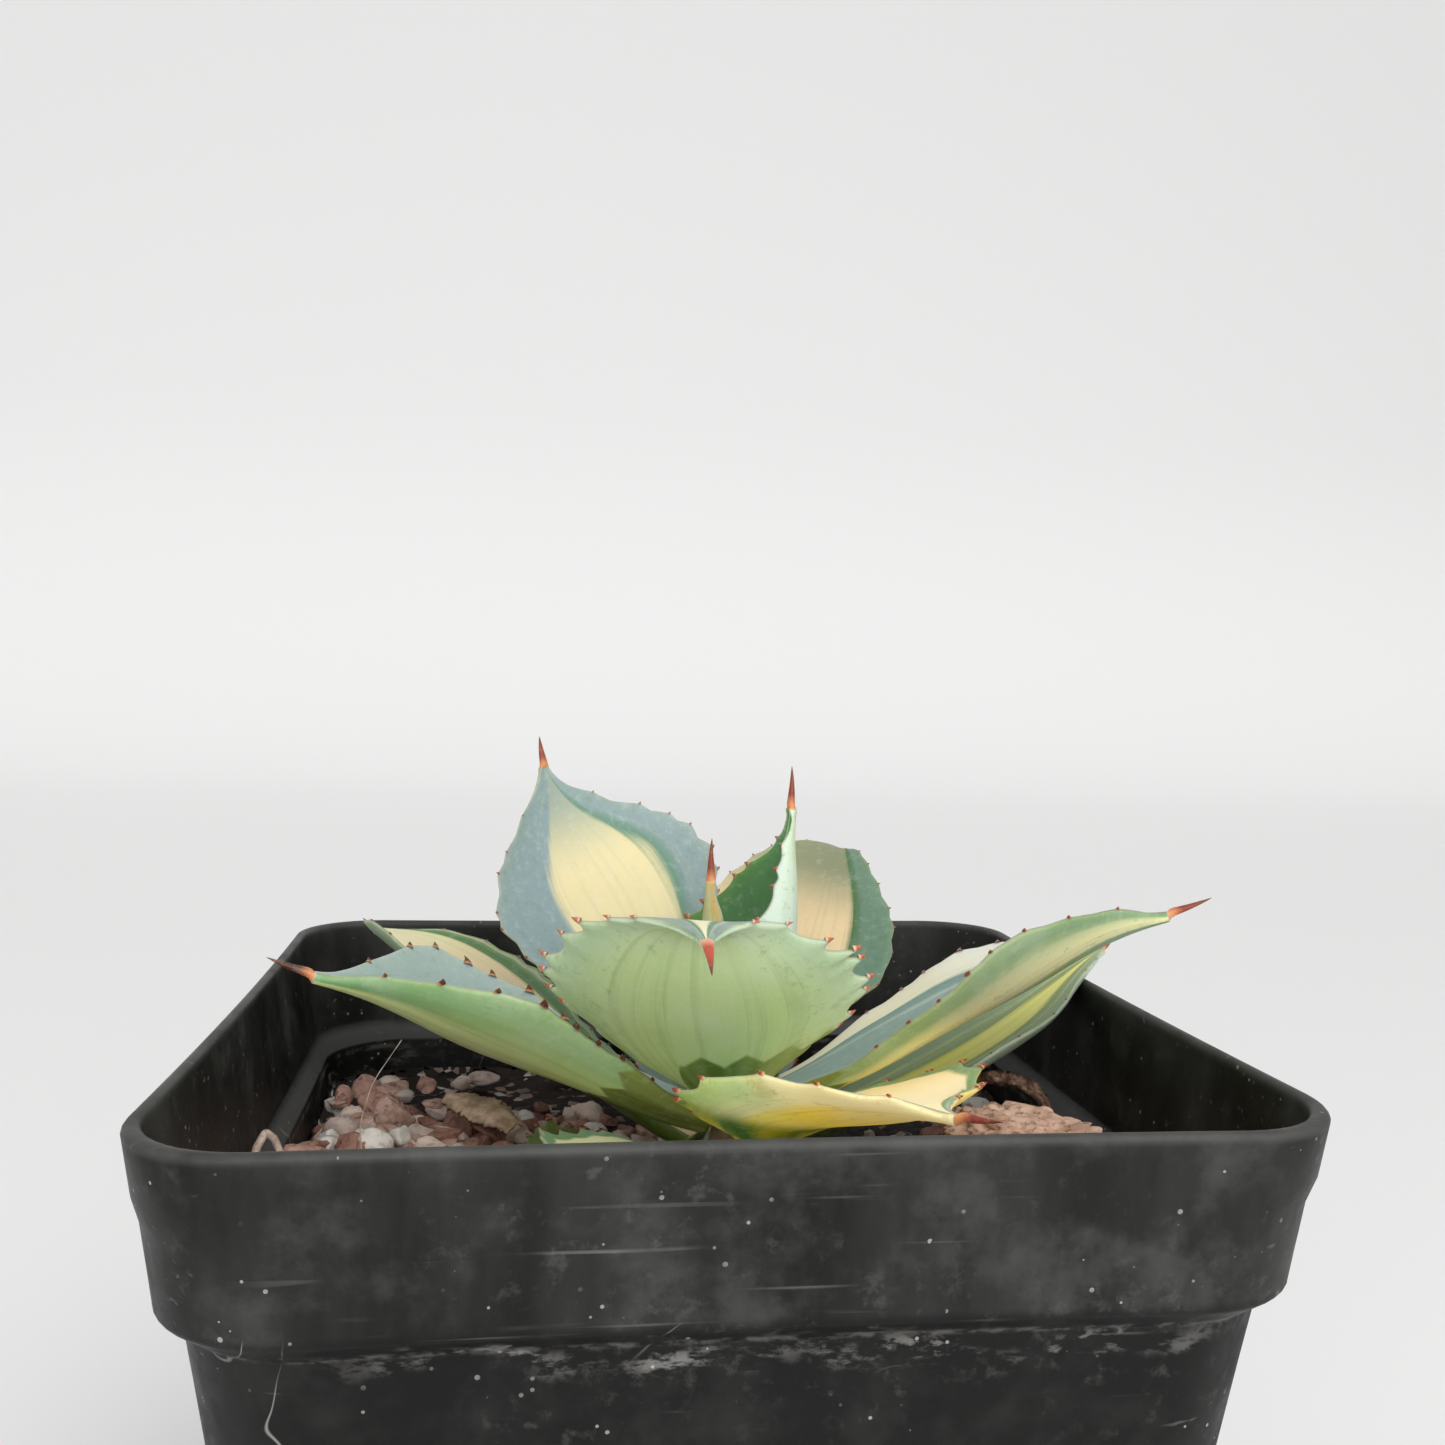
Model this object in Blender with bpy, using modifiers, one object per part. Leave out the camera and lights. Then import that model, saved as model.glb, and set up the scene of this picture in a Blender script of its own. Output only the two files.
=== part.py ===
"""A young variegated agave in a square nursery pot, in metres, +Z up.

The origin is the centre of the pot's underside. The pot's front side faces -Y. The plant grows on a
short stem in the soil, a little to the right of the pot's centre, and its leaves stand in a spiral
from flat, old ones at the soil to the closed spear in the middle.
"""

import math
import random
from dataclasses import dataclass, replace

import bmesh
import bpy
from mathutils import Euler, Vector, noise

# Pot
POT_HEIGHT = 0.085
RIM_HALF_WIDTH = 0.045
WALL = 0.0011
FLOOR = 0.0016
CORNER_RADIUS = 0.010
SIDE_BOW = 0.0005
COLLAR_HEIGHT = 0.0133
COLLAR_FLARE = 0.0016
STEP_HEIGHT = 0.0022
STEP_INSET = 0.0017
BODY_TAPER = 0.141
FOOT_BEVEL = 0.0012
DRAIN_RADIUS = 0.0028
DRAIN_SPREAD = 0.021

# Soil and what lies on it
HEADSPACE = 0.0170
SOIL_DISH = 0.0046
DISH_RADIUS = 0.028
SOIL_LEAN = 0.0016
SOIL_BUMP = 0.0006
CLEARANCE = 0.0003
LITTER_SEED = 7

# Stem and root ball
STEM_CENTRE = Vector((0.0045, 0.0005))
STEM_RADIUS = 0.0034
STEM_TIP_RADIUS = 0.0012
STEM_TOP = 0.0110
ROOT_RADIUS = 0.0125
ROOT_DEPTH = 0.034
ROOT_SHOULDER = 0.006
NECK_DEPTH = 0.004

# Leaves. The section lists (across, under) round the blade: -1 and 1 are its edges, and under is 1
# on the fleshy underside. The spine's shape lists (share of its length, share of its radius).
TOOTH_HEIGHT = 0.0009
TOOTH_HALF_PITCH = 0.016
SPINE_RADIUS = 0.00042
EDGE_THICKNESS = 0.00028
LEAF_SECTION = ((-1, 0), (-0.5, 0), (0, 0), (0.5, 0), (1, 0), (0.6, 1), (0, 1), (-0.6, 1))
SPINE_SHAPE = ((0.12, 1.0), (0.6, 0.55), (1.0, 0.12))
MOST_LIFT = 45

# Dry scraps and loose litter
BARK_SIZE = (0.0098, 0.0046, 0.0037)
BARK_OFF_WALL = 0.0086
BARK_FORWARD = 0.0105
BARK_TURN = (0.0, 0.08, -0.62)
CURL_OFF_WALL = 0.0069
CURL_LEAN = 0.0030
CURL_RADIUS = 0.0052
CURL_HEIGHT = 0.0070
CURL_WIDTH = 0.0040
FLAKE_WIDTH = 0.0042
SCRAP_THICKNESS = 0.0005
TWIG_RADIUS = 0.00040
LITTER_LENGTH = (0.0022, 0.0030)
CREAM = (0.72, 0.64, 0.54)
WHITE = (0.80, 0.77, 0.72)
PINK_BROWN = (0.42, 0.27, 0.22)
TAN = (0.60, 0.48, 0.32)


@dataclass
class Leaf:
    """One leaf. Angles are in degrees and lengths in metres; heights are above the soil level.

    flat_tip is the share of the cup that is gone at the blade's tip.
    """

    name: str
    azimuth: float
    height: float
    rise: float
    bend: float
    sweep: float
    length: float
    width: float
    cup: float
    roll: float = 0.0
    twist: float = 0.0
    hook: float = 0.0
    hook_aside: float = 0.0
    flat_tip: float = 0.0
    widest: float = 0.6
    taper: float = 1.3
    spine: float = 0.0044
    off_stem: float = 0.0006
    base_half_width: float = 0.0032
    base_thickness: float = 0.0026
    thickness: float = 0.0016
    teeth: int = 7
    colour: tuple = (0.46, 0.60, 0.45)


LEAVES = [
    Leaf("leaf_spear", 215, 0.0125, 82, 2, 0, 0.0165, 0.0046, 60, spine=0.0043, off_stem=-0.0010,
         base_half_width=0.0012, base_thickness=0.0012, thickness=0.0010, teeth=0, widest=0.4,
         colour=(0.55, 0.62, 0.20)),
    Leaf("leaf_young", 17, 0.0114, 80, 6, -4, 0.0246, 0.0225, 78, roll=-5, twist=5, hook=-2, widest=0.38,
         taper=2.1, spine=0.0045, off_stem=-0.0014, base_half_width=0.0020, base_thickness=0.0016,
         thickness=0.0012, teeth=5, colour=(0.16, 0.38, 0.20)),
    Leaf("leaf_back_left_tall", 139.7, 0.0087, 47, 10, 5, 0.0374, 0.0270, 29, roll=26, twist=7, hook=17,
         hook_aside=9, widest=0.58, spine=0.0035, off_stem=0.0004, colour=(0.78, 0.76, 0.50)),
    Leaf("leaf_back_right", 61.5, 0.0086, 44.5, -8, -5, 0.0375, 0.0234, 15, roll=-10, hook=-54, widest=0.42,
         taper=1.25, spine=0.0025, off_stem=0.0004, colour=(0.72, 0.68, 0.44)),
    Leaf("leaf_front", 249.5, 0.0088, 25.3, 28.9, 15, 0.0427, 0.0289, 23, roll=-6.9, twist=11, hook=-69.5,
         hook_aside=5.5, widest=0.51, taper=1.14, spine=0.0040, flat_tip=0.9, off_stem=0.0001, colour=(0.55, 0.66, 0.50)),
    Leaf("leaf_right", -12.5, 0.0077, 26, 6, -3, 0.0426, 0.0270, 30, roll=-10, twist=32, hook=-14,
         hook_aside=-2, spine=0.0046, colour=(0.50, 0.62, 0.52)),
    Leaf("leaf_left", 202.6, 0.0063, 19.7, 9, -4.4, 0.0418, 0.0247, 47, roll=4.5, twist=-6.8, hook=-11.2,
         hook_aside=-2.5, widest=0.66, taper=1.52, colour=(0.48, 0.60, 0.42)),
    Leaf("leaf_front_right", -70, 0.0049, 25.5, -14, 2, 0.0315, 0.0310, 21, roll=-8, twist=23, hook=-10,
         hook_aside=14, widest=0.48, spine=0.0043, colour=(0.76, 0.66, 0.34)),
    Leaf("leaf_low_left", 148.5, 0.0026, 19.7, 5.2, -12, 0.0500, 0.0250, 23, roll=-21, twist=8.5, hook=-29,
         hook_aside=-13, widest=0.68, taper=1.25, spine=0.0040, colour=(0.74, 0.66, 0.42)),
    Leaf("leaf_low_right", 9.2, 0.0034, 12, 21.6, 16.8, 0.0474, 0.0205, 28, roll=-4.5, twist=11,
         hook=-29.5, hook_aside=18, widest=0.50, taper=1.4, spine=0.0036, colour=(0.60, 0.62, 0.22)),
    Leaf("leaf_low_front", 246, 0.0023, 13, -4, 0, 0.0330, 0.0236, 24, hook=-6, base_thickness=0.0020,
         colour=(0.70, 0.68, 0.40)),
    Leaf("leaf_low_back", 90, -0.0002, 20, -4, 0, 0.0350, 0.0240, 24, hook=-6, base_thickness=0.0020,
         colour=(0.60, 0.62, 0.40)),
    Leaf("leaf_bottom_left", 203, -0.0006, 12, -4, 0, 0.0215, 0.0180, 24, hook=-4, base_thickness=0.0020,
         colour=(0.16, 0.20, 0.06)),
]


def smooth(x):
    """Eases from 0 to 1 as x goes from 0 to 1."""
    x = min(max(x, 0.0), 1.0)
    return x * x * (3 - 2 * x)


def soil_level():
    return POT_HEIGHT - HEADSPACE


def body_half_width(z):
    """Half the pot's outer width at a height under its step."""
    step_low = POT_HEIGHT - COLLAR_HEIGHT - STEP_HEIGHT
    return RIM_HALF_WIDTH - COLLAR_FLARE - STEP_INSET - BODY_TAPER * (step_low - z)


def inner_half_width(z):
    """Half the width between the walls' inner faces, at any height."""
    step_top = POT_HEIGHT - COLLAR_HEIGHT
    if z < step_top:
        return body_half_width(min(z, step_top - STEP_HEIGHT)) - WALL
    return RIM_HALF_WIDTH - WALL - COLLAR_FLARE * max(POT_HEIGHT - z, 0.0) / COLLAR_HEIGHT


def material(name, colour, roughness):
    made = bpy.data.materials.new(name)
    made.use_nodes = True
    shader = made.node_tree.nodes["Principled BSDF"]
    shader.inputs["Base Color"].default_value = (*colour, 1)
    shader.inputs["Roughness"].default_value = roughness
    shader.inputs["Metallic"].default_value = 0
    return made


def add_object(name, bm, collection, colour=(0.5, 0.5, 0.5), roughness=0.6):
    """Makes an object of a bmesh, with its own material."""
    if bm.calc_volume(signed=True) < 0:
        bmesh.ops.reverse_faces(bm, faces=bm.faces)
    mesh = bpy.data.meshes.new(name)
    bm.to_mesh(mesh)
    bm.free()
    obj = bpy.data.objects.new(name, mesh)
    obj.data.materials.append(material(name, colour, roughness))
    collection.objects.link(obj)
    return obj


def cut(obj, cutter):
    """Takes the cutter's volume out of the object."""
    cutter.hide_render = True
    cutter.display_type = "WIRE"
    modifier = obj.modifiers.new("cut_" + cutter.name, "BOOLEAN")
    modifier.operation = "DIFFERENCE"
    modifier.object = cutter


def loft(rings, first_cap=True, last_cap=True):
    """Joins rings of as many points each, in order, into one closed skin."""
    bm = bmesh.new()
    made = [[bm.verts.new(point) for point in ring] for ring in rings]
    for low, high in zip(made, made[1:]):
        for i in range(len(low)):
            j = (i + 1) % len(low)
            bm.faces.new((low[i], low[j], high[j], high[i]))
    if first_cap:
        bm.faces.new(made[0][::-1])
    if last_cap:
        bm.faces.new(made[-1])
    return bm


def square_ring(half_width, z, radius, corner_steps=4, side_steps=4):
    """A square with round corners, whose sides bow in a little."""
    points = []
    flat = half_width - radius
    for quarter in range(4):
        turn = quarter * math.pi / 2
        for i in range(corner_steps + 1):
            angle = i / corner_steps * math.pi / 2
            points.append((turn, flat + radius * math.cos(angle), flat + radius * math.sin(angle)))
        for i in range(1, side_steps):
            along = 1 - 2 * i / side_steps
            bow = SIDE_BOW * (1 - along * along)
            points.append((turn, flat * along, half_width - bow))
    return [
        Vector((x * math.cos(turn) - y * math.sin(turn), x * math.sin(turn) + y * math.cos(turn), z))
        for turn, x, y in points
    ]


def make_pot(collection, cutters):
    """Thin moulded walls with a flared collar over a small step, and a floor with drain holes."""
    step_top = POT_HEIGHT - COLLAR_HEIGHT
    step_low = step_top - STEP_HEIGHT
    collar_low = RIM_HALF_WIDTH - COLLAR_FLARE
    edge = WALL * 0.3
    foot = body_half_width(0)
    outside = [
        (foot - FOOT_BEVEL, 0.0),
        (body_half_width(FOOT_BEVEL), FOOT_BEVEL),
        (body_half_width(step_low), step_low),
        (collar_low - edge, step_top - edge),
        (collar_low, step_top + edge),
        (RIM_HALF_WIDTH, POT_HEIGHT - edge),
        (RIM_HALF_WIDTH - edge, POT_HEIGHT),
    ]
    inside = [
        (RIM_HALF_WIDTH - WALL + edge, POT_HEIGHT),
        (RIM_HALF_WIDTH - WALL, POT_HEIGHT - edge),
        (collar_low - WALL, step_top + WALL),
        (body_half_width(step_low) - WALL, step_low + WALL),
        (body_half_width(FLOOR) - WALL, FLOOR),
    ]
    rings = []
    for half_width, z in outside:
        rings.append(square_ring(half_width, z, CORNER_RADIUS))
    for half_width, z in inside:
        rings.append(square_ring(half_width, z, CORNER_RADIUS - WALL))
    pot = add_object("pot", loft(rings), collection, (0.03, 0.03, 0.03), 0.5)
    for i in range(8):
        angle = i * math.pi / 4
        reach = DRAIN_SPREAD * (1.0 if i % 2 else 0.85)
        bpy.ops.mesh.primitive_cylinder_add(
            vertices=12,
            radius=DRAIN_RADIUS,
            depth=FLOOR * 4,
            location=(reach * math.cos(angle), reach * math.sin(angle), FLOOR / 2),
        )
        hole = bpy.context.object
        hole.name = f"drain_cutter_{i}"
        for owner in hole.users_collection:
            owner.objects.unlink(hole)
        cutters.objects.link(hole)
        cut(pot, hole)
    return pot


def soil_height(x, y):
    """The soil's surface: uneven, dished round the stem and a little lower at the back."""
    away = (Vector((x, y)) - STEM_CENTRE).length
    dish = SOIL_DISH * (1 - smooth(away / DISH_RADIUS))
    bump = SOIL_BUMP * noise.noise(Vector((x, y, 0)) * 120)
    lean = SOIL_LEAN * smooth((y + 0.010) / 0.030)
    return soil_level() - dish + bump - lean


def make_soil(collection, cutters):
    """Fills the pot's body up to an uneven surface, with a socket for the stem and root ball."""
    floor_z = FLOOR + CLEARANCE
    gap = WALL + CLEARANCE
    rings = [square_ring(body_half_width(floor_z) - gap, floor_z, CORNER_RADIUS - gap)]
    shelf = soil_level() - SOIL_DISH
    side = square_ring(body_half_width(shelf) - gap, shelf, CORNER_RADIUS - gap)
    rings.append(side)
    for share in (1.0, 0.86, 0.72, 0.58, 0.44, 0.3, 0.16):
        centre = STEM_CENTRE * (1 - share)
        ring = []
        for point in side:
            x = point.x * share + centre.x
            y = point.y * share + centre.y
            ring.append(Vector((x, y, soil_height(x, y))))
        rings.append(ring)
    soil = add_object("soil", loft(rings), collection, (0.10, 0.07, 0.05), 0.95)
    socket = make_stem_solid("stem_socket", cutters, CLEARANCE)
    cut(soil, socket)
    return soil


def make_stem_solid(name, collection, grow):
    """A turned stem over a rounded root ball. grow makes the socket's cutter from the same profile."""
    low = soil_level() - ROOT_DEPTH - grow
    neck = soil_level() - SOIL_DISH - NECK_DEPTH + grow
    shoulder = neck - ROOT_SHOULDER
    top = soil_level() + STEM_TOP + grow
    profile = [(0.0, top)]
    profile.append((STEM_TIP_RADIUS + grow, top))
    profile.append((STEM_RADIUS + grow, soil_level()))
    profile.append((STEM_RADIUS + grow, neck))
    for i in range(5):
        angle = i / 5 * math.pi / 2
        radius = (ROOT_RADIUS + grow) * math.cos(angle)
        profile.append((radius, shoulder - (shoulder - low) * math.sin(angle)))
    profile.append((0.0, low))
    mesh = bpy.data.meshes.new(name)
    mesh.from_pydata([(r, 0, z) for r, z in profile], [(i, i + 1) for i in range(len(profile) - 1)], [])
    obj = bpy.data.objects.new(name, mesh)
    obj.location = (STEM_CENTRE.x, STEM_CENTRE.y, 0)
    turn = obj.modifiers.new("turn", "SCREW")
    turn.steps = 16
    turn.render_steps = 16
    turn.use_merge_vertices = True
    turn.merge_threshold = 0.00005
    obj.data.materials.append(material(name, (0.30, 0.20, 0.12), 0.9))
    collection.objects.link(obj)
    return obj


def leaf_half_width(leaf, t):
    """From the narrow base to the widest place, then in to the end spine."""
    half = leaf.width / 2
    if t < leaf.widest:
        return leaf.base_half_width + (half - leaf.base_half_width) * smooth(t / leaf.widest) ** 0.9
    past = (t - leaf.widest) / (1 - leaf.widest)
    return SPINE_RADIUS + (half - SPINE_RADIUS) * max(math.cos(math.pi / 2 * past), 0.0) ** leaf.taper


def leaf_direction(leaf, t):
    end = smooth((t - 0.72) / 0.28)
    up = math.radians(leaf.rise + leaf.bend * t + leaf.hook * end)
    round_ = math.radians(leaf.azimuth + leaf.sweep * t + leaf.hook_aside * end)
    along = Vector((math.cos(up) * math.cos(round_), math.cos(up) * math.sin(round_), math.sin(up)))
    side = Vector((math.sin(round_), -math.cos(round_), 0))
    face = side.cross(along)
    roll = math.radians((leaf.roll + leaf.twist * t) * smooth(t / 0.35))
    side = side * math.cos(roll) + face * math.sin(roll)
    return along, side, side.cross(along)


def leaf_points(leaf, places):
    """The midrib's points at these shares of the leaf's length."""
    azimuth = math.radians(leaf.azimuth)
    start = STEM_RADIUS + leaf.off_stem
    point = Vector((
        STEM_CENTRE.x + start * math.cos(azimuth),
        STEM_CENTRE.y + start * math.sin(azimuth),
        soil_level() + leaf.height,
    ))
    steps = 60
    line = [point.copy()]
    for i in range(steps):
        point = point + leaf_direction(leaf, (i + 0.5) / steps)[0] * leaf.length / steps
        line.append(point.copy())
    found = []
    for t in places:
        low = min(int(t * steps), steps - 1)
        found.append(line[low].lerp(line[low + 1], t * steps - low))
    return found


def leaf_places(leaf):
    """Rows along the leaf: one at each tooth and one on each side of it."""
    rows = {0.0, 0.08, 0.16, 0.95, 1.0}
    teeth = [0.26 + 0.58 * i / max(leaf.teeth - 1, 1) for i in range(leaf.teeth)]
    if not teeth:
        teeth = [0.3, 0.5, 0.7, 0.85]
    for tooth in teeth:
        rows |= {tooth - TOOTH_HALF_PITCH, tooth, tooth + TOOTH_HALF_PITCH}
    return sorted(rows), teeth if leaf.teeth else []


def leaf_ring(leaf, t, centre, tooth=0.0):
    """The blade's section at one place, with its edges pushed out by a tooth's height."""
    _, side, face = leaf_direction(leaf, t)
    half = leaf_half_width(leaf, t)
    cup = math.radians(leaf.cup * (0.35 + 0.65 * smooth(t / 0.5)) * (1 - leaf.flat_tip * smooth((t - 0.62) / 0.3)))
    flesh = leaf.base_thickness + (leaf.thickness - leaf.base_thickness) * smooth(t / 0.45)
    flesh *= 1 - 0.6 * smooth((t - 0.6) / 0.4)
    ring = []
    for across, under in LEAF_SECTION:
        angle = across * cup
        reach = half + (tooth if abs(across) == 1 else 0.0)
        depth = under * (EDGE_THICKNESS + flesh * (1 - across * across))
        x = reach / cup * math.sin(angle) + math.sin(angle) * depth
        z = reach / cup * (1 - math.cos(angle)) - math.cos(angle) * depth
        ring.append(centre + side * x + face * z)
    return ring


def clears_pot(leaf):
    """Whether the leaf stays inside the pot's walls, or above the rim where it passes over them."""
    rows = [i / 60 for i in range(61)]
    spine = leaf_direction(leaf, 1.0)[0] * leaf.spine
    points = [leaf_points(leaf, [1.0])[0] + spine * i / 8 for i in range(9)]
    for t, centre in zip(rows, leaf_points(leaf, rows)):
        points += leaf_ring(leaf, t, centre, TOOTH_HEIGHT)
    for point in points:
        inner = inner_half_width(point.z) - CLEARANCE
        flat = inner - CORNER_RADIUS + WALL
        corner = math.hypot(max(abs(point.x) - flat, 0), max(abs(point.y) - flat, 0))
        if corner > CORNER_RADIUS - WALL and point.z < POT_HEIGHT + CLEARANCE:
            return False
    return True


def lifted(leaves):
    """The leaves, with the spread ones raised by the few degrees that clear the pot's walls."""
    for lift in [step / 4 for step in range(MOST_LIFT * 4)]:
        raised = [replace(leaf, rise=leaf.rise + lift * (1 - smooth((leaf.rise - 36) / 30))) for leaf in leaves]
        if all(clears_pot(leaf) for leaf in raised):
            break
    return raised


def make_leaf(leaf, collection):
    """A cupped, fleshy blade with toothed edges that ends in a sharp spine."""
    rows, teeth = leaf_places(leaf)
    rings = []
    for t, centre in zip(rows, leaf_points(leaf, rows)):
        rings.append(leaf_ring(leaf, t, centre, TOOTH_HEIGHT if t in teeth else 0.0))
    along, side, face = leaf_direction(leaf, 1.0)
    tip = leaf_points(leaf, [1.0])[0]
    for share, thinner in SPINE_SHAPE:
        middle = tip + along * leaf.spine * share
        ring = []
        for i in range(len(LEAF_SECTION)):
            angle = math.pi - i / len(LEAF_SECTION) * 2 * math.pi
            out = side * math.cos(angle) + face * math.sin(angle)
            ring.append(middle + out * SPINE_RADIUS * thinner)
        rings.append(ring)
    obj = add_object(leaf.name, loft(rings), collection, leaf.colour, 0.55)
    obj.data.shade_smooth()
    return obj


def make_litter_piece(name, at, size, turn, collection, colour, seed, finer=False):
    """A stone or chip: a rough lump, squared off a little, that lies on the soil."""
    bm = bmesh.new()
    bmesh.ops.create_icosphere(bm, subdivisions=2 if finer else 1, radius=1.0)
    shake = random.Random(seed)
    for vert in bm.verts:
        vert.co *= 1 + shake.uniform(-0.16, 0.12)
        vert.co = Vector([c * s for c, s in zip(vert.co, size)])
        vert.co.rotate(Euler(turn))
    low = min(vert.co.z for vert in bm.verts)
    reach = max(size)
    ground = max(
        soil_height(at[0] + dx * reach, at[1] + dy * reach) for dx in (-1, 0, 1) for dy in (-1, 0, 1)
    )
    lift = ground + CLEARANCE - low
    for vert in bm.verts:
        vert.co += Vector((at[0], at[1], lift))
    return add_object(name, bm, collection, colour, 0.85)


def make_strip(name, path, width, thickness, across, collection, colour):
    """A dry scrap: a thin strip that follows a path, its width along the direction given."""
    rings = []
    for i, point in enumerate(path):
        ahead = path[min(i + 1, len(path) - 1)] - path[max(i - 1, 0)]
        side = across.normalized() * width / 2 * (0.55 + 0.45 * math.sin(math.pi * (i + 0.5) / len(path)))
        up = side.cross(ahead).normalized() * thickness / 2
        rings.append([point - side - up, point + side - up, point + side + up, point - side + up])
    return add_object(name, loft(rings), collection, colour, 0.85)


def make_scraps(collection):
    """The big piece of bark, the curled scrap behind it, the dry flake and the bent twig."""
    level = soil_level()
    wall = inner_half_width(level)
    bark_place = (wall - BARK_OFF_WALL, -BARK_FORWARD)
    make_litter_piece("bark_large", bark_place, BARK_SIZE, BARK_TURN, collection, PINK_BROWN, 3, finer=True)
    arch = []
    for i in range(9):
        angle = math.pi * (0.06 + 0.88 * i / 8)
        x = wall - CURL_OFF_WALL + CURL_RADIUS * math.cos(angle)
        y = CURL_LEAN * (1 - math.cos(angle))
        arch.append(Vector((x, y, level + 0.0010 + CURL_HEIGHT * math.sin(angle))))
    make_strip("dry_curl", arch, CURL_WIDTH, SCRAP_THICKNESS, Vector((0.6, 1, 0)), collection, TAN)
    flake = []
    for i in range(6):
        flake.append(Vector((-0.0245 + 0.0012 * i, 0.0105 - 0.0014 * i, level + 0.0040 - 0.0002 * i)))
    make_strip("dry_flake", flake, FLAKE_WIDTH, SCRAP_THICKNESS, Vector((1, 0.8, 0.25)), collection, TAN)
    make_twig(collection)


def make_twig(collection):
    """A bent twig that leans on the left wall. Its points are measured from the wall and the soil."""
    twig = bpy.data.curves.new("twig", "CURVE")
    twig.dimensions = "3D"
    twig.bevel_depth = TWIG_RADIUS
    twig.bevel_resolution = 2
    twig.use_fill_caps = True
    line = twig.splines.new("POLY")
    bends = [
        (0.0016, -0.0155, 0.0045),
        (0.0018, -0.0125, 0.0066),
        (0.0022, -0.0102, 0.0077),
        (0.0034, -0.0118, 0.0072),
        (0.0052, -0.0150, 0.0052),
    ]
    wall = inner_half_width(soil_level() + min(z for _, _, z in bends))
    line.points.add(len(bends) - 1)
    for place, (off_wall, y, z) in zip(line.points, bends):
        place.co = (off_wall - wall, y, soil_level() + z, 1)
    obj = bpy.data.objects.new("twig", twig)
    obj.data.materials.append(material("twig", (0.62, 0.50, 0.42), 0.8))
    collection.objects.link(obj)


def make_litter(collection):
    """Loose stones and bark chips, spread over the soil outside the leaves' reach."""
    shake = random.Random(LITTER_SEED)
    edge = body_half_width(soil_level()) - WALL
    number = 0
    spots = [
        (-0.86, -0.62), (-0.86, -0.36), (-0.84, -0.10), (-0.86, 0.16), (-0.84, 0.42), (-0.82, 0.70),
        (-0.66, -0.84), (-0.64, -0.58), (-0.68, -0.30), (-0.64, 0.02), (-0.55, 0.80), (-0.40, -0.84),
        (-0.28, 0.84), (0.00, 0.86), (0.28, 0.84), (0.56, 0.80), (0.82, 0.66), (0.86, 0.36), (0.86, 0.08),
        (0.14, -0.86), (-0.12, -0.86), (0.86, -0.80), (-0.46, -0.62), (-0.52, 0.52),
    ]
    for across, deep in spots:
        number += 1
        length = shake.uniform(*LITTER_LENGTH)
        size = (length, length * shake.uniform(0.6, 0.85), length * shake.uniform(0.35, 0.55))
        turn = (shake.uniform(-0.3, 0.3), shake.uniform(-0.3, 0.3), shake.uniform(0, math.pi))
        colour = shake.choice((CREAM, PINK_BROWN, PINK_BROWN, WHITE))
        kind = {CREAM: "stone", WHITE: "stone", PINK_BROWN: "bark_chip"}[colour]
        name = f"{kind}_{number:02d}"
        make_litter_piece(name, (across * edge, deep * edge), size, turn, collection, colour, number)


def main():
    for obj in list(bpy.data.objects):
        bpy.data.objects.remove(obj, do_unlink=True)
    collection = bpy.data.collections.new("potted_agave")
    cutters = bpy.data.collections.new("cutters")
    bpy.context.scene.collection.children.link(collection)
    bpy.context.scene.collection.children.link(cutters)
    make_pot(collection, cutters)
    make_soil(collection, cutters)
    make_stem_solid("stem_and_roots", collection, 0.0)
    for leaf in lifted(LEAVES):
        make_leaf(leaf, collection)
    make_scraps(collection)
    make_litter(collection)


main()
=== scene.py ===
"""A young variegated agave in a black square nursery pot: the looks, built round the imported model."""

import math
import random
from dataclasses import dataclass, field

import bmesh
import bpy
import numpy as np
from mathutils import Euler, Matrix, Vector, noise


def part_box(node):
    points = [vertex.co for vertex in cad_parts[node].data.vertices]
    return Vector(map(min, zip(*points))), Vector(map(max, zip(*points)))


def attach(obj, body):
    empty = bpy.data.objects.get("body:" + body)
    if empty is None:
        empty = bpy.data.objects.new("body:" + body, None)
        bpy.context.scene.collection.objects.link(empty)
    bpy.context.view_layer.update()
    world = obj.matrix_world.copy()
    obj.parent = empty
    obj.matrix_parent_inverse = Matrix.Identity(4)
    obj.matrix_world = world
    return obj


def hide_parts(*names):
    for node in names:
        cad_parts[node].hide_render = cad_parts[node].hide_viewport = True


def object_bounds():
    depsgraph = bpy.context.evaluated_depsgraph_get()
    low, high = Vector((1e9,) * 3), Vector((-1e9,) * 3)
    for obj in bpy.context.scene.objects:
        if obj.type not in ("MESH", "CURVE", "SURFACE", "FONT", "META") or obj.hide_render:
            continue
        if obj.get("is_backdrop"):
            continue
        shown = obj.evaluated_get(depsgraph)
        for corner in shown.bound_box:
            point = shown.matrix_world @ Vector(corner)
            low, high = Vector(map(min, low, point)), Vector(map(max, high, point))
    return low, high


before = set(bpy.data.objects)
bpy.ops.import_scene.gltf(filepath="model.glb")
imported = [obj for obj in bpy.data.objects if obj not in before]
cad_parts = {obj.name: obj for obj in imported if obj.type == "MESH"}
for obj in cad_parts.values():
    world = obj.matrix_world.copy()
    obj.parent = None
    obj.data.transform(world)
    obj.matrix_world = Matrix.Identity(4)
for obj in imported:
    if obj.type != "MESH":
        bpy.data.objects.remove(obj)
cad_low, cad_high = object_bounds()


# ---------------------------------------------------------------------------------------------
# Camera. It stands a hand's breadth in front of the pot, a little over the rim and to the left,
# and looks almost level across the rim.
CAMERA_SIDE = -0.0174
CAMERA_BACK = -0.1369
CAMERA_OVER_RIM = 0.0312
CAMERA_YAW = math.radians(8.02)
CAMERA_PITCH = math.radians(-1.46)
CAMERA_ROLL = math.radians(1.44)
CAMERA_LENS = 34.2
CAMERA_SENSOR = 36.0
CAMERA_NEAREST = 0.005

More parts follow.
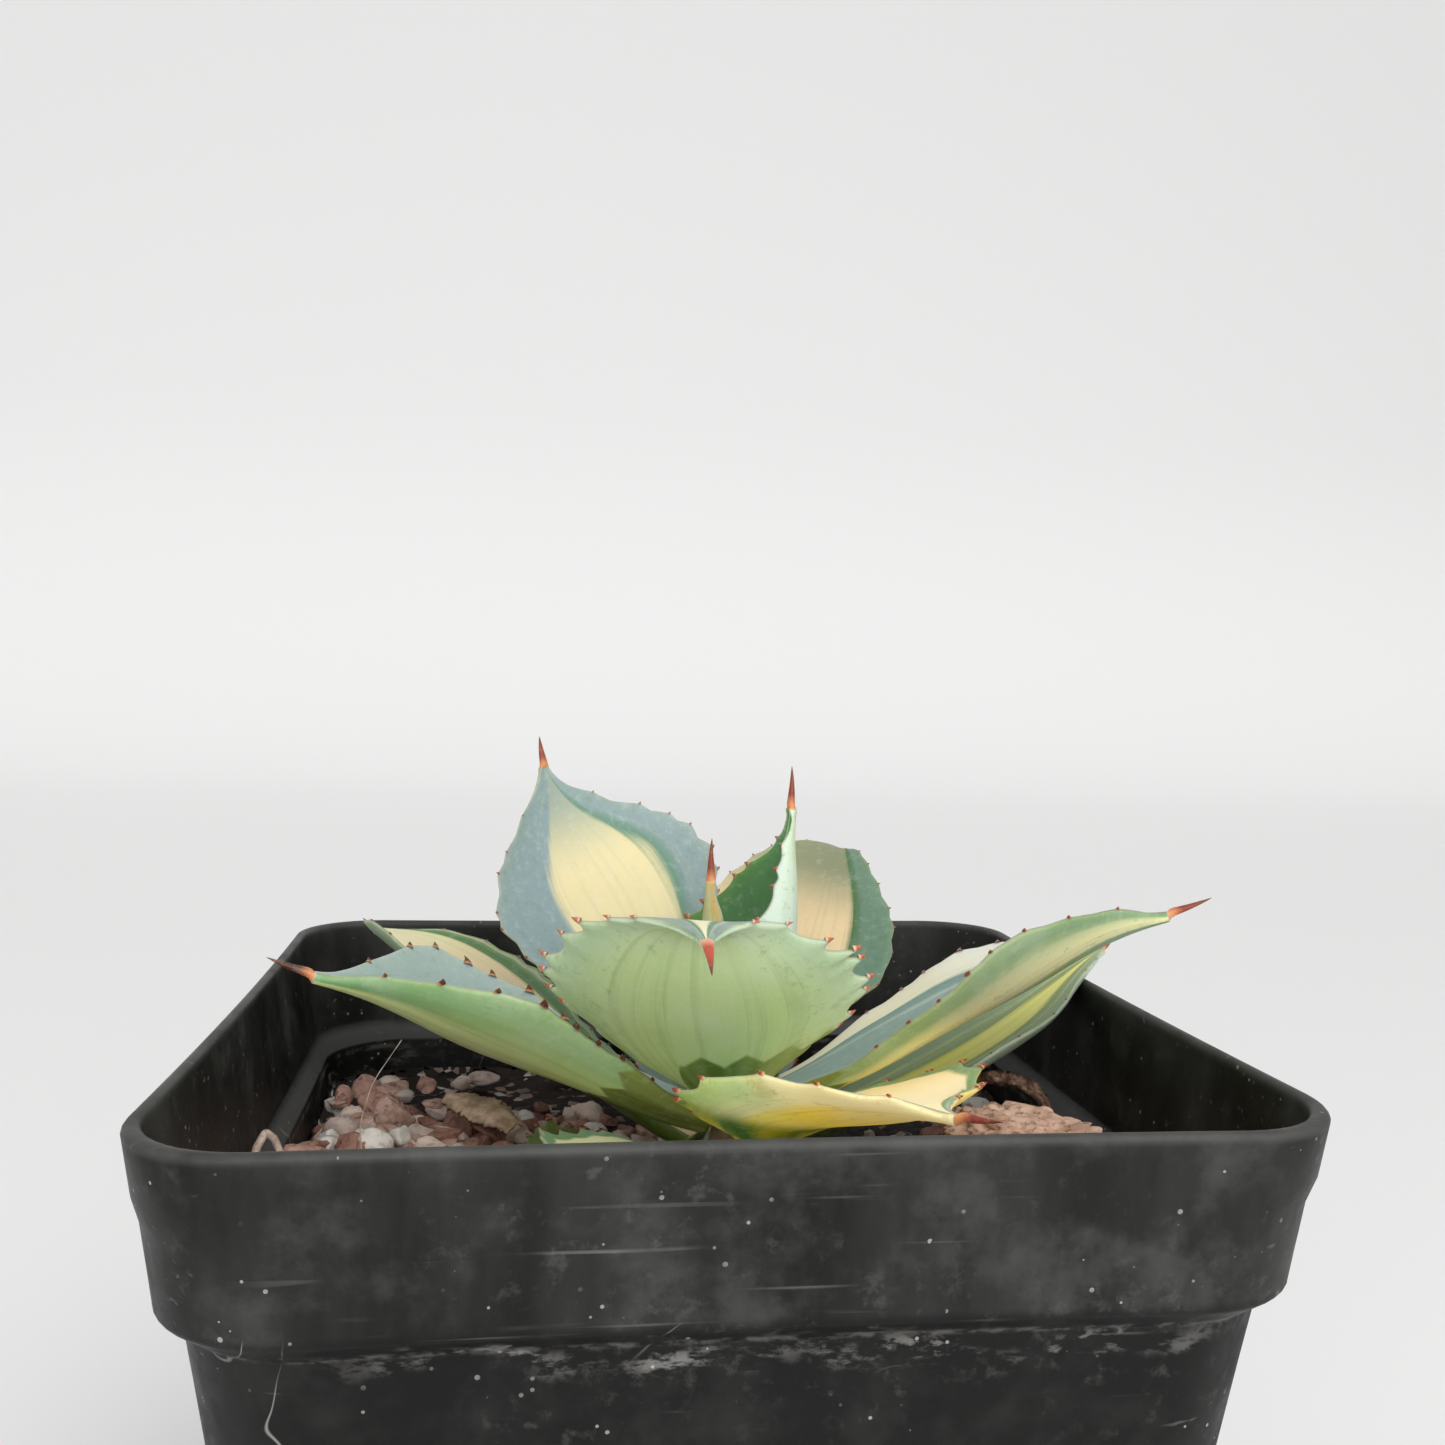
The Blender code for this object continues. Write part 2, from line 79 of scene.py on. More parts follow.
pot_low, pot_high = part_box("pot")
rim_z = pot_high.z
camera = bpy.data.objects.new("camera", bpy.data.cameras.new("camera"))
camera.data.lens = CAMERA_LENS
camera.data.sensor_width = CAMERA_SENSOR
camera.data.clip_start = CAMERA_NEAREST
turn = Matrix.Rotation(-CAMERA_YAW, 4, "Z") @ Matrix.Rotation(math.pi / 2 + CAMERA_PITCH, 4, "X")
turn = turn @ Matrix.Rotation(CAMERA_ROLL, 4, "Z")
camera.matrix_world = Matrix.Translation((CAMERA_SIDE, CAMERA_BACK, rim_z + CAMERA_OVER_RIM)) @ turn
bpy.context.scene.collection.objects.link(camera)
bpy.context.scene.camera = camera
bpy.context.scene.view_settings.view_transform = "Standard"


# ---------------------------------------------------------------------------------------------
# Studio. A pale paper sweep under an even white surround. A broad soft sun stands in front, to the
# right and high, so the pot's shadow falls faintly to the left behind it. A low window in front
# lights the undersides of the leaves.
SWEEP_HALF_WIDTH = 1.6
SWEEP_FRONT = -0.9
SWEEP_BACK = 1.3
SWEEP_RADIUS = 0.5
SWEEP_TOP = 1.8
SWEEP_STEPS = 16
WALL_PAPER = (0.88, 0.88, 0.885, 1.0)
FLOOR_PAPER = (0.86, 0.862, 0.868, 1.0)
PAPER_ROUGHNESS = 0.9
SURROUND = 0.56
SUN_STRENGTH = 1.15
SUN_SOFTNESS = 40
SUN_COLOUR = (1.0, 0.985, 0.955)
SUN_HEADING = (-0.42, 0.84, -0.95)
WINDOW_POWER = 4.4
WINDOW_SIZE = (0.9, 0.5)
WINDOW_PLACE = (-0.04, -0.62, 0.16)


class Wire:
    """A node's output. Arithmetic with other wires and with numbers adds the Math nodes for it."""

    def __init__(self, socket):
        self.socket = socket

    def __add__(self, other):
        return calc("ADD", self, other)

    def __radd__(self, other):
        return calc("ADD", other, self)

    def __sub__(self, other):
        return calc("SUBTRACT", self, other)

    def __rsub__(self, other):
        return calc("SUBTRACT", other, self)

    def __mul__(self, other):
        return calc("MULTIPLY", self, other)

    def __abs__(self):
        return calc("ABSOLUTE", self)


def feed(made, inputs):
    """Sets a node's inputs, by socket name or number, to plain values or to wires."""
    for key, value in inputs.items():
        if isinstance(value, Wire):
            made.id_data.links.new(value.socket, made.inputs[key])
        else:
            made.inputs[key].default_value = value


def node(tree, kind, inputs=None, **settings):
    """Adds a shader node with these settings and inputs."""
    made = tree.nodes.new("ShaderNode" + kind)
    for key, value in settings.items():
        setattr(made, key, value)
    feed(made, inputs or {})
    return made


def take(tree, kind, output, inputs=None, **settings):
    """Adds a shader node and gives one of its outputs."""
    return Wire(node(tree, kind, inputs, **settings).outputs[output])


def tree_of(*values):
    """The shader tree that the first wire among these values belongs to."""
    return next(value.socket.id_data for value in values if isinstance(value, Wire))


def calc(operation, *values):
    return take(tree_of(*values), "Math", 0, dict(enumerate(values)), operation=operation)


def mix(factor, first, second, mode="MIX"):
    """Mixes two colours."""
    tree = tree_of(factor, first, second)
    return take(tree, "Mix", 2, {0: factor, 6: first, 7: second}, data_type="RGBA", blend_type=mode)


def new_material(name, specular=0.5):
    """A material with one Principled shader, whose constant values are set on its own sockets."""
    made = bpy.data.materials.new(name)
    made.use_nodes = True
    shader = made.node_tree.nodes["Principled BSDF"]
    feed(shader, {"Metallic": 0.0, "Specular IOR Level": specular})
    return made, made.node_tree, shader


def mesh_object(name, points, faces, material, smooth=True):
    """An object of a mesh made from arrays of points and faces."""
    mesh = bpy.data.meshes.new(name)
    mesh.from_pydata([tuple(p) for p in points], [], faces)
    mesh.validate()
    if smooth:
        mesh.shade_smooth()
    obj = bpy.data.objects.new(name, mesh)
    obj.data.materials.append(material)
    bpy.context.scene.collection.objects.link(obj)
    return obj


def strip_faces(rows, columns, closed):
    """Quads between rows of points, each row closed into a ring or left open."""
    faces = []
    last = columns if closed else columns - 1
    for row in range(rows - 1):
        for i in range(last):
            j = (i + 1) % columns
            low = row * columns
            faces.append((low + i, low + j, low + columns + j, low + columns + i))
    return faces


def capped_faces(rows, columns):
    """Quads between closed rings, with one face over the first ring and one over the last."""
    faces = strip_faces(rows, columns, True)
    faces.append(tuple(range(columns))[::-1])
    faces.append(tuple(range(columns * (rows - 1), columns * rows)))
    return faces


profile = [(SWEEP_FRONT, 0.0)]
for step in range(SWEEP_STEPS + 1):
    angle = step / SWEEP_STEPS * math.pi / 2
    profile.append((SWEEP_BACK + SWEEP_RADIUS * math.sin(angle), SWEEP_RADIUS * (1 - math.cos(angle))))
profile.append((SWEEP_BACK + SWEEP_RADIUS, SWEEP_TOP))
sweep_points = [(x, y, z) for y, z in profile for x in (-SWEEP_HALF_WIDTH, SWEEP_HALF_WIDTH)]
paper, tree, shader = new_material("paper")
facing_up = take(tree, "SeparateXYZ", "Z", {0: take(tree, "NewGeometry", "Normal")})
feed(shader, {"Base Color": mix(facing_up, WALL_PAPER, FLOOR_PAPER), "Roughness": PAPER_ROUGHNESS})
sweep = mesh_object("paper_sweep", sweep_points, strip_faces(len(profile), 2, False), paper)
sweep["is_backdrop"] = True

world = bpy.data.worlds.new("surround")
world.use_nodes = True
world.node_tree.nodes["Background"].inputs["Color"].default_value = (1.0, 1.0, 1.0, 1.0)
world.node_tree.nodes["Background"].inputs["Strength"].default_value = SURROUND
bpy.context.scene.world = world

sun_data = bpy.data.lights.new("soft_daylight", "SUN")
sun_data.energy = SUN_STRENGTH
sun_data.angle = math.radians(SUN_SOFTNESS)
sun_data.color = SUN_COLOUR
sun = bpy.data.objects.new("soft_daylight", sun_data)
sun.rotation_euler = Vector(SUN_HEADING).to_track_quat("-Z", "Y").to_euler()
bpy.context.scene.collection.objects.link(sun)

window_data = bpy.data.lights.new("low_front_window", "AREA")
window_data.shape = "RECTANGLE"
window_data.size, window_data.size_y = WINDOW_SIZE
window_data.energy = WINDOW_POWER
window = bpy.data.objects.new("low_front_window", window_data)
window.location = WINDOW_PLACE
window.rotation_euler = (Vector((0.0, 0.0, rim_z)) - window.location).to_track_quat("-Z", "Y").to_euler()
bpy.context.scene.collection.objects.link(window)


# ---------------------------------------------------------------------------------------------
# Pot. One thin moulding in black polypropylene: a flared collar, a small rounded step under it
# and sides that taper to the foot. The plastic has greyed on the collar, with scuffs and dust.
WALL = 0.0011
FLOOR = 0.0016
CORNER_RADIUS = 0.010
SIDE_BOW = 0.0005
COLLAR_HEIGHT = 0.0133
COLLAR_FLARE = 0.0016
STEP_HEIGHT = 0.0022
STEP_INSET = 0.0017
BODY_TAPER = 0.141
FOOT_ROUND = 0.0012
DRAIN_RADIUS = 0.0028
DRAIN_SPREAD = 0.021
DRAIN_HOLES = 8
SCRATCH_TURNS = ((0.3, 0.5, 0.2), (0.2, -0.7, 1.1), (1.2, 0.1, -0.6), (0.6, 1.3, 0.4))
rim_half = -pot_low.x
step_top = rim_z - COLLAR_HEIGHT
step_low = step_top - STEP_HEIGHT


def body_half_width(z):
    return rim_half - COLLAR_FLARE - STEP_INSET - BODY_TAPER * (step_low - z)


def square_ring(half_width, z, radius, corner_steps=12, side_steps=14):
    """A square with round corners, whose sides bow in a little."""
    points = []
    flat = half_width - radius
    for quarter in range(4):
        turned = quarter * math.pi / 2
        local = []
        for i in range(corner_steps + 1):
            angle = i / corner_steps * math.pi / 2
            local.append((flat + radius * math.cos(angle), flat + radius * math.sin(angle)))
        for i in range(1, side_steps):
            along = 1 - 2 * i / side_steps
            local.append((flat * along, half_width - SIDE_BOW * (1 - along * along)))
        for x, y in local:
            points.append((
                x * math.cos(turned) - y * math.sin(turned),
                x * math.sin(turned) + y * math.cos(turned),
                z,
            ))
    return points


def arc(centre, radius, start, end, steps):
    """Points of a pot profile on an arc: (half width, height)."""
    found = []
    for i in range(steps + 1):
        angle = math.radians(start + (end - start) * i / steps)
        found.append((centre[0] + radius * math.cos(angle), centre[1] + radius * math.sin(angle)))
    return found


def pot_profile():
    """(half width, height) from the middle of the underside, up the outside and down the inside."""
    foot = body_half_width(FOOT_ROUND)
    collar_low = rim_half - COLLAR_FLARE
    lip = WALL / 2
    outside = [(foot * share, 0.0) for share in (0.25, 0.6, 0.9)]
    outside += arc((foot - FOOT_ROUND, FOOT_ROUND), FOOT_ROUND, -90, 0, 5)
    for i in range(1, 14):
        z = FOOT_ROUND + (step_low - FOOT_ROUND) * i / 14
        outside.append((body_half_width(z), z))
    outside += arc((body_half_width(step_low) + 0.0005, step_low - 0.0002), 0.0005, 180, 118, 3)
    outside += arc((collar_low - 0.0009, step_top - 0.0001), 0.0009, -50, 0, 5)
    for i in range(1, 6):
        share = i / 6
        outside.append((collar_low + COLLAR_FLARE * share, step_top + (rim_z - lip - step_top) * share))
    rim = arc((rim_half - lip, rim_z - lip), lip, 0, 180, 8)
    inside = []
    for i in range(1, 6):
        share = i / 6
        inside.append((
            rim_half - WALL - COLLAR_FLARE * share,
            rim_z - lip - (rim_z - lip - step_top - WALL) * share,
        ))
    ledge = body_half_width(step_low) - WALL
    inside += arc((collar_low - WALL - 0.0006, step_top + WALL), 0.0006, 0, -60, 3)
    inside += arc((ledge + 0.0005, step_low + WALL * 0.7), 0.0005, 110, 180, 3)
    for i in range(1, 10):
        z = step_low - (step_low - FLOOR - 0.001) * i / 10
        inside.append((body_half_width(z) - WALL, z))
    inside += [((body_half_width(FLOOR) - WALL) * share, FLOOR) for share in (0.96, 0.6, 0.25)]
    return outside + rim + inside


def ease(value, low, high, start=0.0, end=1.0):
    """start below low, end above high, and a smooth step between."""
    inputs = {"Value": value, "From Min": low, "From Max": high, "To Min": start, "To Max": end}
    return take(tree_of(value), "MapRange", "Result", inputs, interpolation_type="SMOOTHSTEP")


def noise_value(vector, scale, detail=3.0, rough=0.55, distortion=0.0):
    inputs = {"Vector": vector, "Scale": scale, "Detail": detail, "Roughness": rough}
    return take(tree_of(vector), "TexNoise", 0, {**inputs, "Distortion": distortion})


def moved(vector, scale=(1, 1, 1), turn_by=(0, 0, 0), shift=(0, 0, 0)):
    inputs = {"Vector": vector, "Location": shift, "Rotation": turn_by, "Scale": scale}
    return take(tree_of(vector), "Mapping", "Vector", inputs)


def cells(vector, scale):
    """Grains of one size: a random value for each and the distance from its middle."""
    tree = tree_of(vector)
    made = node(tree, "TexVoronoi", {"Vector": vector, "Scale": scale, "Randomness": 1.0})
    return take(tree, "SeparateColor", 0, {0: Wire(made.outputs["Color"])}), Wire(made.outputs["Distance"])


def surface(shader, colour, rough, height, strength, distance):
    """Gives a shader its colour, its roughness and a bump of this height."""
    relief = {"Strength": strength, "Distance": distance, "Height": height}
    normal = take(shader.id_data, "Bump", "Normal", relief)
    feed(shader, {"Base Color": colour, "Roughness": rough, "Normal": normal})


def new_group(name, inputs, outputs):
    """A node group with these inputs and their usual values. Gives the tree, the wires and the end."""
    tree = bpy.data.node_groups.new(name, "ShaderNodeTree")
    for socket, usual in inputs.items():
        kind = "Float" if isinstance(usual, float) else ("Vector" if len(usual) == 3 else "Color")
        made = tree.interface.new_socket(socket, in_out="INPUT", socket_type="NodeSocket" + kind)
        made.default_value = usual
    for socket, kind in outputs.items():
        tree.interface.new_socket(socket, in_out="OUTPUT", socket_type="NodeSocket" + kind)
    start = tree.nodes.new("NodeGroupInput")
    given = {socket: Wire(start.outputs[socket]) for socket in inputs}
    return tree, given, tree.nodes.new("NodeGroupOutput")


def place_group(tree, group, inputs):
    """Places a node group and gives its outputs by name."""
    made = node(tree, "Group", node_tree=group)
    feed(made, inputs)
    return {socket.name: Wire(socket) for socket in made.outputs}


def build_scratches():
    """Fine scratches in four directions, with most of the surface left clean."""
    usual = {"Vector": (0, 0, 0), "Scale": 1.0, "Amount": 0.5}
    tree, given, gives = new_group("scratches", usual, {"Mask": "Float"})
    total = None
    scaled = take(tree, "VectorMath", 0, {0: given["Vector"], "Scale": given["Scale"]}, operation="SCALE")
    for number, turn_by in enumerate(SCRATCH_TURNS):
        lines = moved(scaled, (26, 900, 900), turn_by, (number * 3.1, 0, 0))
        peaks = ease(noise_value(lines, 1.0, 2.0, 0.5), 0.69, 0.76)
        patches = moved(scaled, (1, 1, 1), (0, 0, 0), (number * 7.7, 2.0, 0))
        where = ease(noise_value(patches, 70.0, 2.0), 0.45, 0.64)
        one = peaks * where
        total = one if total is None else calc("MAXIMUM", total, one)
    feed(gives, {"Mask": total * given["Amount"]})
    return tree


def build_dust():
    """Soft cloudy dust with fine specks in it."""
    usual = {"Vector": (0, 0, 0), "Cloud": 60.0, "Specks": 0.5}
    tree, given, gives = new_group("dust", usual, {"Mask": "Float", "Speck Mask": "Float"})
    vector = given["Vector"]
    cloud = noise_value(vector, given["Cloud"], 5.0, 0.62)
    chosen, distance = cells(vector, 1300.0)
    size = ease(chosen, 0.84, 1.0, 0.0, 0.26)
    dot = calc("LESS_THAN", distance, size)
    thin = ease(noise_value(vector, 140.0), 0.45, 0.6)
    speck = dot * thin * given["Specks"]
    feed(gives, {"Mask": ease(cloud, 0.44, 0.72), "Speck Mask": speck})
    return tree


scratches = build_scratches()
dust = build_dust()


def build_pot_material():
    """Black plastic: charcoal body, greyer collar, a worn rim, dusty step, a painted highlight on the inner
    ledge and chalky water marks.
    """
    made, tree, shader = new_material("pot_plastic", 0.16)
    place = take(tree, "TexCoord", "Object")
    z = take(tree, "SeparateXYZ", "Z", {0: place})
    streaky = moved(place, (1, 1, 0.22))
    ragged = noise_value(streaky, 95.0, 6.0, 0.6)
    wobble = (ragged - 0.5) * 0.01
    height = z + wobble
    collar = ease(z, step_top - 0.0006, step_top + 0.0004)
    body_black = mix(ragged, (0.002, 0.002, 0.002, 1), (0.007, 0.0068, 0.0064, 1))
    collar_grey = mix(ease(ragged, 0.3, 0.7), (0.004, 0.004, 0.0037, 1), (0.022, 0.022, 0.0205, 1))
    colour = mix(collar, body_black, collar_grey)
    powder = place_group(tree, dust, {"Vector": place, "Cloud": 150.0, "Specks": 1.0})
    powdery = powder["Mask"] * (0.08 + collar * 0.18)
    colour = mix(powdery, colour, (0.11, 0.11, 0.105, 1))
    mottle = noise_value(place, 520.0, 6.0, 0.7)
    patchy = ease(noise_value(moved(place, shift=(1, 5, 2)), 48.0, 3.0), 0.4, 0.66)
    mottled = ease(mottle, 0.54, 0.7) * patchy
    colour = mix(mottled * 0.26, colour, (0.12, 0.12, 0.112, 1))
    under_step = ease(abs(height - (step_low - 0.001)), 0.0, 0.0017, 1, 0)
    broken = ease(noise_value(moved(place, (1, 1, 2.4)), 330.0, 6.0, 0.68), 0.5, 0.62)
    where_dusty = ease(noise_value(moved(place, shift=(4, 0, 3)), 52.0, 2.0), 0.44, 0.6)
    settled = under_step * broken * where_dusty
    colour = mix(settled * 0.55, colour, (0.24, 0.235, 0.22, 1))
    step_line = ease(abs(z - (step_low + 0.0003)), 0.0, 0.0005, 1, 0)
    step_line = step_line * ease(mottle, 0.42, 0.6)
    colour = mix(step_line * 0.55, colour, (0.15, 0.145, 0.135, 1))
    # Lighter grey on the upward faces at the inner ledge: a painted highlight, with some dust on it.
    facing = take(tree, "SeparateXYZ", "Z", {0: take(tree, "NewGeometry", "Normal")})
    ledge_near = ease(abs(z - (step_low + WALL)), 0.001, 0.0022, 1, 0)
    ledge_highlight_and_dust = ease(facing, 0.2, 0.7) * ledge_near * 0.55
    colour = mix(ledge_highlight_and_dust, colour, (0.13, 0.13, 0.128, 1))
    rim_edge = ease(z, rim_z - 0.001, rim_z - 0.0001)
    worn = rim_edge * ease(noise_value(place, 240.0, 4.0), 0.3, 0.62, 0.55, 1.0)
    colour = mix(worn * 0.55, colour, (0.1, 0.1, 0.095, 1))
    marks = place_group(tree, scratches, {"Vector": place, "Scale": 1.0, "Amount": 0.6})["Mask"]
    colour = mix(marks * 0.5, colour, (0.24, 0.235, 0.22, 1))
    rings = noise_value(place, 84.0, 1.0, 0.4, 0.6)
    contour = abs(rings - 0.52)
    contour = ease(contour, 0.0, 0.006, 1, 0)
    where = ease(noise_value(moved(place, shift=(3, 1, 2)), 75.0, 3.0), 0.55, 0.68)
    water = contour * where * (1.0 - collar)
    colour = mix(water * 0.55, colour, (0.34, 0.33, 0.31, 1))
    colour = mix(powder["Speck Mask"] * 0.5, colour, (0.45, 0.44, 0.42, 1))
    fine = noise_value(place, 900.0, 3.0)
    rough = 0.42 + powder["Mask"] * 0.22
    rough = rough + (fine - 0.5) * 0.16
    relief = fine * 0.25 - marks * 1.0
    relief = relief + noise_value(place, 45.0, 2.0) * 1.2
    surface(shader, colour, rough, relief, 0.55, 0.00012)
    return made


rings = pot_profile()
pot_points = []
for half_width, z in rings:
    inner = z > FLOOR * 0.9 and (half_width, z) in rings[len(rings) // 2:]
    radius = min(CORNER_RADIUS - (WALL if inner else 0.0), half_width * 0.9)
    pot_points += square_ring(half_width, z, radius)
around = len(pot_points) // len(rings)
pot_faces = capped_faces(len(rings), around)
nursery_pot = mesh_object("nursery_pot", pot_points, pot_faces, build_pot_material())
holes = bmesh.new()
for i in range(DRAIN_HOLES):
    angle = i * 2 * math.pi / DRAIN_HOLES
    reach = DRAIN_SPREAD * (1.0 if i % 2 else 0.85)
    spot = Matrix.Translation((reach * math.cos(angle), reach * math.sin(angle), FLOOR / 2))
    sizes = {"radius1": DRAIN_RADIUS, "radius2": DRAIN_RADIUS, "depth": FLOOR * 4}
    bmesh.ops.create_cone(holes, cap_ends=True, segments=28, matrix=spot, **sizes)
hole_mesh = bpy.data.meshes.new("drain_cutter")
holes.to_mesh(hole_mesh)
holes.free()
cutter = bpy.data.objects.new("drain_cutter", hole_mesh)
bpy.context.scene.collection.objects.link(cutter)
drilled = nursery_pot.modifiers.new("drain_holes", "BOOLEAN")
drilled.operation = "DIFFERENCE"
drilled.object = cutter
graph = bpy.context.evaluated_depsgraph_get()
finished = bpy.data.meshes.new_from_object(nursery_pot.evaluated_get(graph))
nursery_pot.modifiers.clear()
nursery_pot.data = finished
bpy.data.objects.remove(cutter)
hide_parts("pot")
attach(nursery_pot, "root")


# ---------------------------------------------------------------------------------------------
# Soil, stem and roots. The mix is dark and gritty, heaped a little to the pot's left side and
# dished round the stem. The stem is short, fibrous and almost hidden by the leaf bases.
STEM_OVER_SOIL = 0.0110
SOIL_DISH = 0.0046
DISH_RADIUS = 0.028
SOIL_LEAN = 0.0022
CLEARANCE = 0.0003
stem_low, stem_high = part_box("stem_and_roots")
stem_centre = Vector(((stem_low.x + stem_high.x) / 2, (stem_low.y + stem_high.y) / 2))
soil_level = stem_high.z - STEM_OVER_SOIL


def smooth(x):
    """Eases from 0 to 1 as x goes from 0 to 1."""
    x = np.clip(x, 0.0, 1.0)
    return x * x * (3 - 2 * x)


def soil_height(x, y):
    away = math.hypot(x - stem_centre.x, y - stem_centre.y)
    height = soil_level - SOIL_DISH * (1 - float(smooth(away / DISH_RADIUS)))
    height -= SOIL_LEAN * float(smooth((y + 0.010) / 0.030))
    height += 0.0009 * noise.noise(Vector((x, y, 0)) * 120)
    height += 0.0006 * noise.noise(Vector((x, y, 0.3)) * 420)
    return height + 0.0004 * noise.noise(Vector((x, y, 0.7)) * 1100)


def build_soil_material():
    made, tree, shader = new_material("potting_mix")
    place = take(tree, "TexCoord", "Object")
    tone, distance = cells(place, 900.0)
    colour = mix(noise_value(place, 260.0, 5.0), (0.01, 0.0065, 0.005, 1), (0.034, 0.022, 0.016, 1))
    colour = mix(ease(tone, 0.8, 0.95), colour, (0.3, 0.22, 0.17, 1))
    colour = mix(ease(tone, 0.955, 0.985), colour, (0.62, 0.58, 0.52, 1))
    surface(shader, colour, ease(tone, 0.0, 1.0, 0.95, 0.75), 1.0 - distance, 0.9, 0.0005)
    return made


soil_rings = []
for z in np.linspace(FLOOR + CLEARANCE, soil_level - 0.001, 12):
    gap = WALL + CLEARANCE
    soil_rings.append(square_ring(body_half_width(z) - gap, z, CORNER_RADIUS - gap))
for share in np.linspace(1.0, 0.004, 56):
    ring = []
    for x, y, z in soil_rings[11]:
        x = x * share + stem_centre.x * (1 - share)
        y = y * share + stem_centre.y * (1 - share)
        ring.append((x, y, soil_height(x, y)))
    soil_rings.append(ring)
soil_points = [p for ring in soil_rings for p in ring]
soil_faces = capped_faces(len(soil_rings), around)
potting_mix = mesh_object("potting_mix", soil_points, soil_faces, build_soil_material())
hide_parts("soil")
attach(potting_mix, "root")


def build_stem_material():
    made, tree, shader = new_material("stem_fibre")
    place = take(tree, "TexCoord", "Object")
    strands = noise_value(moved(place, (1, 1, 0.15)), 700.0, 5.0)
    colour = mix(strands, (0.08, 0.045, 0.028, 1), (0.36, 0.25, 0.15, 1))
    surface(shader, colour, ease(strands, 0.2, 0.8, 0.95, 0.7), strands, 0.8, 0.0003)
    return made


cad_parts["stem_and_roots"].data.materials.clear()
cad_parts["stem_and_roots"].data.materials.append(build_stem_material())


# ---------------------------------------------------------------------------------------------
# Leaves. Each is one thick, cupped blade with a hard end spine and hooked teeth on its scalloped
# edge. The upper face is cream in the middle and blue-green at the edges; the underside is green
# under a whitish bloom, which is missing where a neighbour once pressed on it.
SPINE_RADIUS = 0.00050
EDGE_THICKNESS = 0.00022
EDGE_WAVE = 0.00028
TOOTH_LENGTH = 0.00095
TEETH_FROM = 0.22
TEETH_SPAN = 0.70
TOOTH_RADIUS = 0.00034
BLADE_ROWS = 170
BLADE_COLUMNS = 26
SPINE_ROWS = 12
RED_BROWN = (0.20, 0.035, 0.025, 1)
DARK_BROWN = (0.060, 0.020, 0.014, 1)
ORANGE = (0.62, 0.24, 0.10, 1)
FLESH = {"Subsurface Weight": 0.45, "Subsurface Radius": (1.0, 0.95, 0.40), "Subsurface Scale": 0.0024}


@dataclass
class Leaf:
    """One leaf's shape, in degrees and metres, with heights above the soil level, and its colouring.

    flat_tip is the share of the cup that is gone at the tip, tooth scales its teeth, cusp is
    how far its edge stands out at a tooth, and sharp says how narrow that cusp is. look holds the
    values that its skin doesn't take from the shared ones.
    """

    name: str
    azimuth: float
    height: float
    rise: float
    bend: float
    sweep: float
    length: float
    width: float
    cup: float
    roll: float = 0.0
    twist: float = 0.0
    hook: float = 0.0
    hook_aside: float = 0.0
    flat_tip: float = 0.0
    widest: float = 0.6
    taper: float = 1.3
    spine: float = 0.0044
    spine_bend: float = 0.0004
    start: float = 0.0040
    base_half_width: float = 0.0032
    base_thickness: float = 0.0026
    thickness: float = 0.0016
    teeth: int = 8
    tooth: float = 1.0
    cusp: float = 0.0009
    sharp: float = 1.9
    slot: str = "leaf"
    look: dict = field(default_factory=dict)


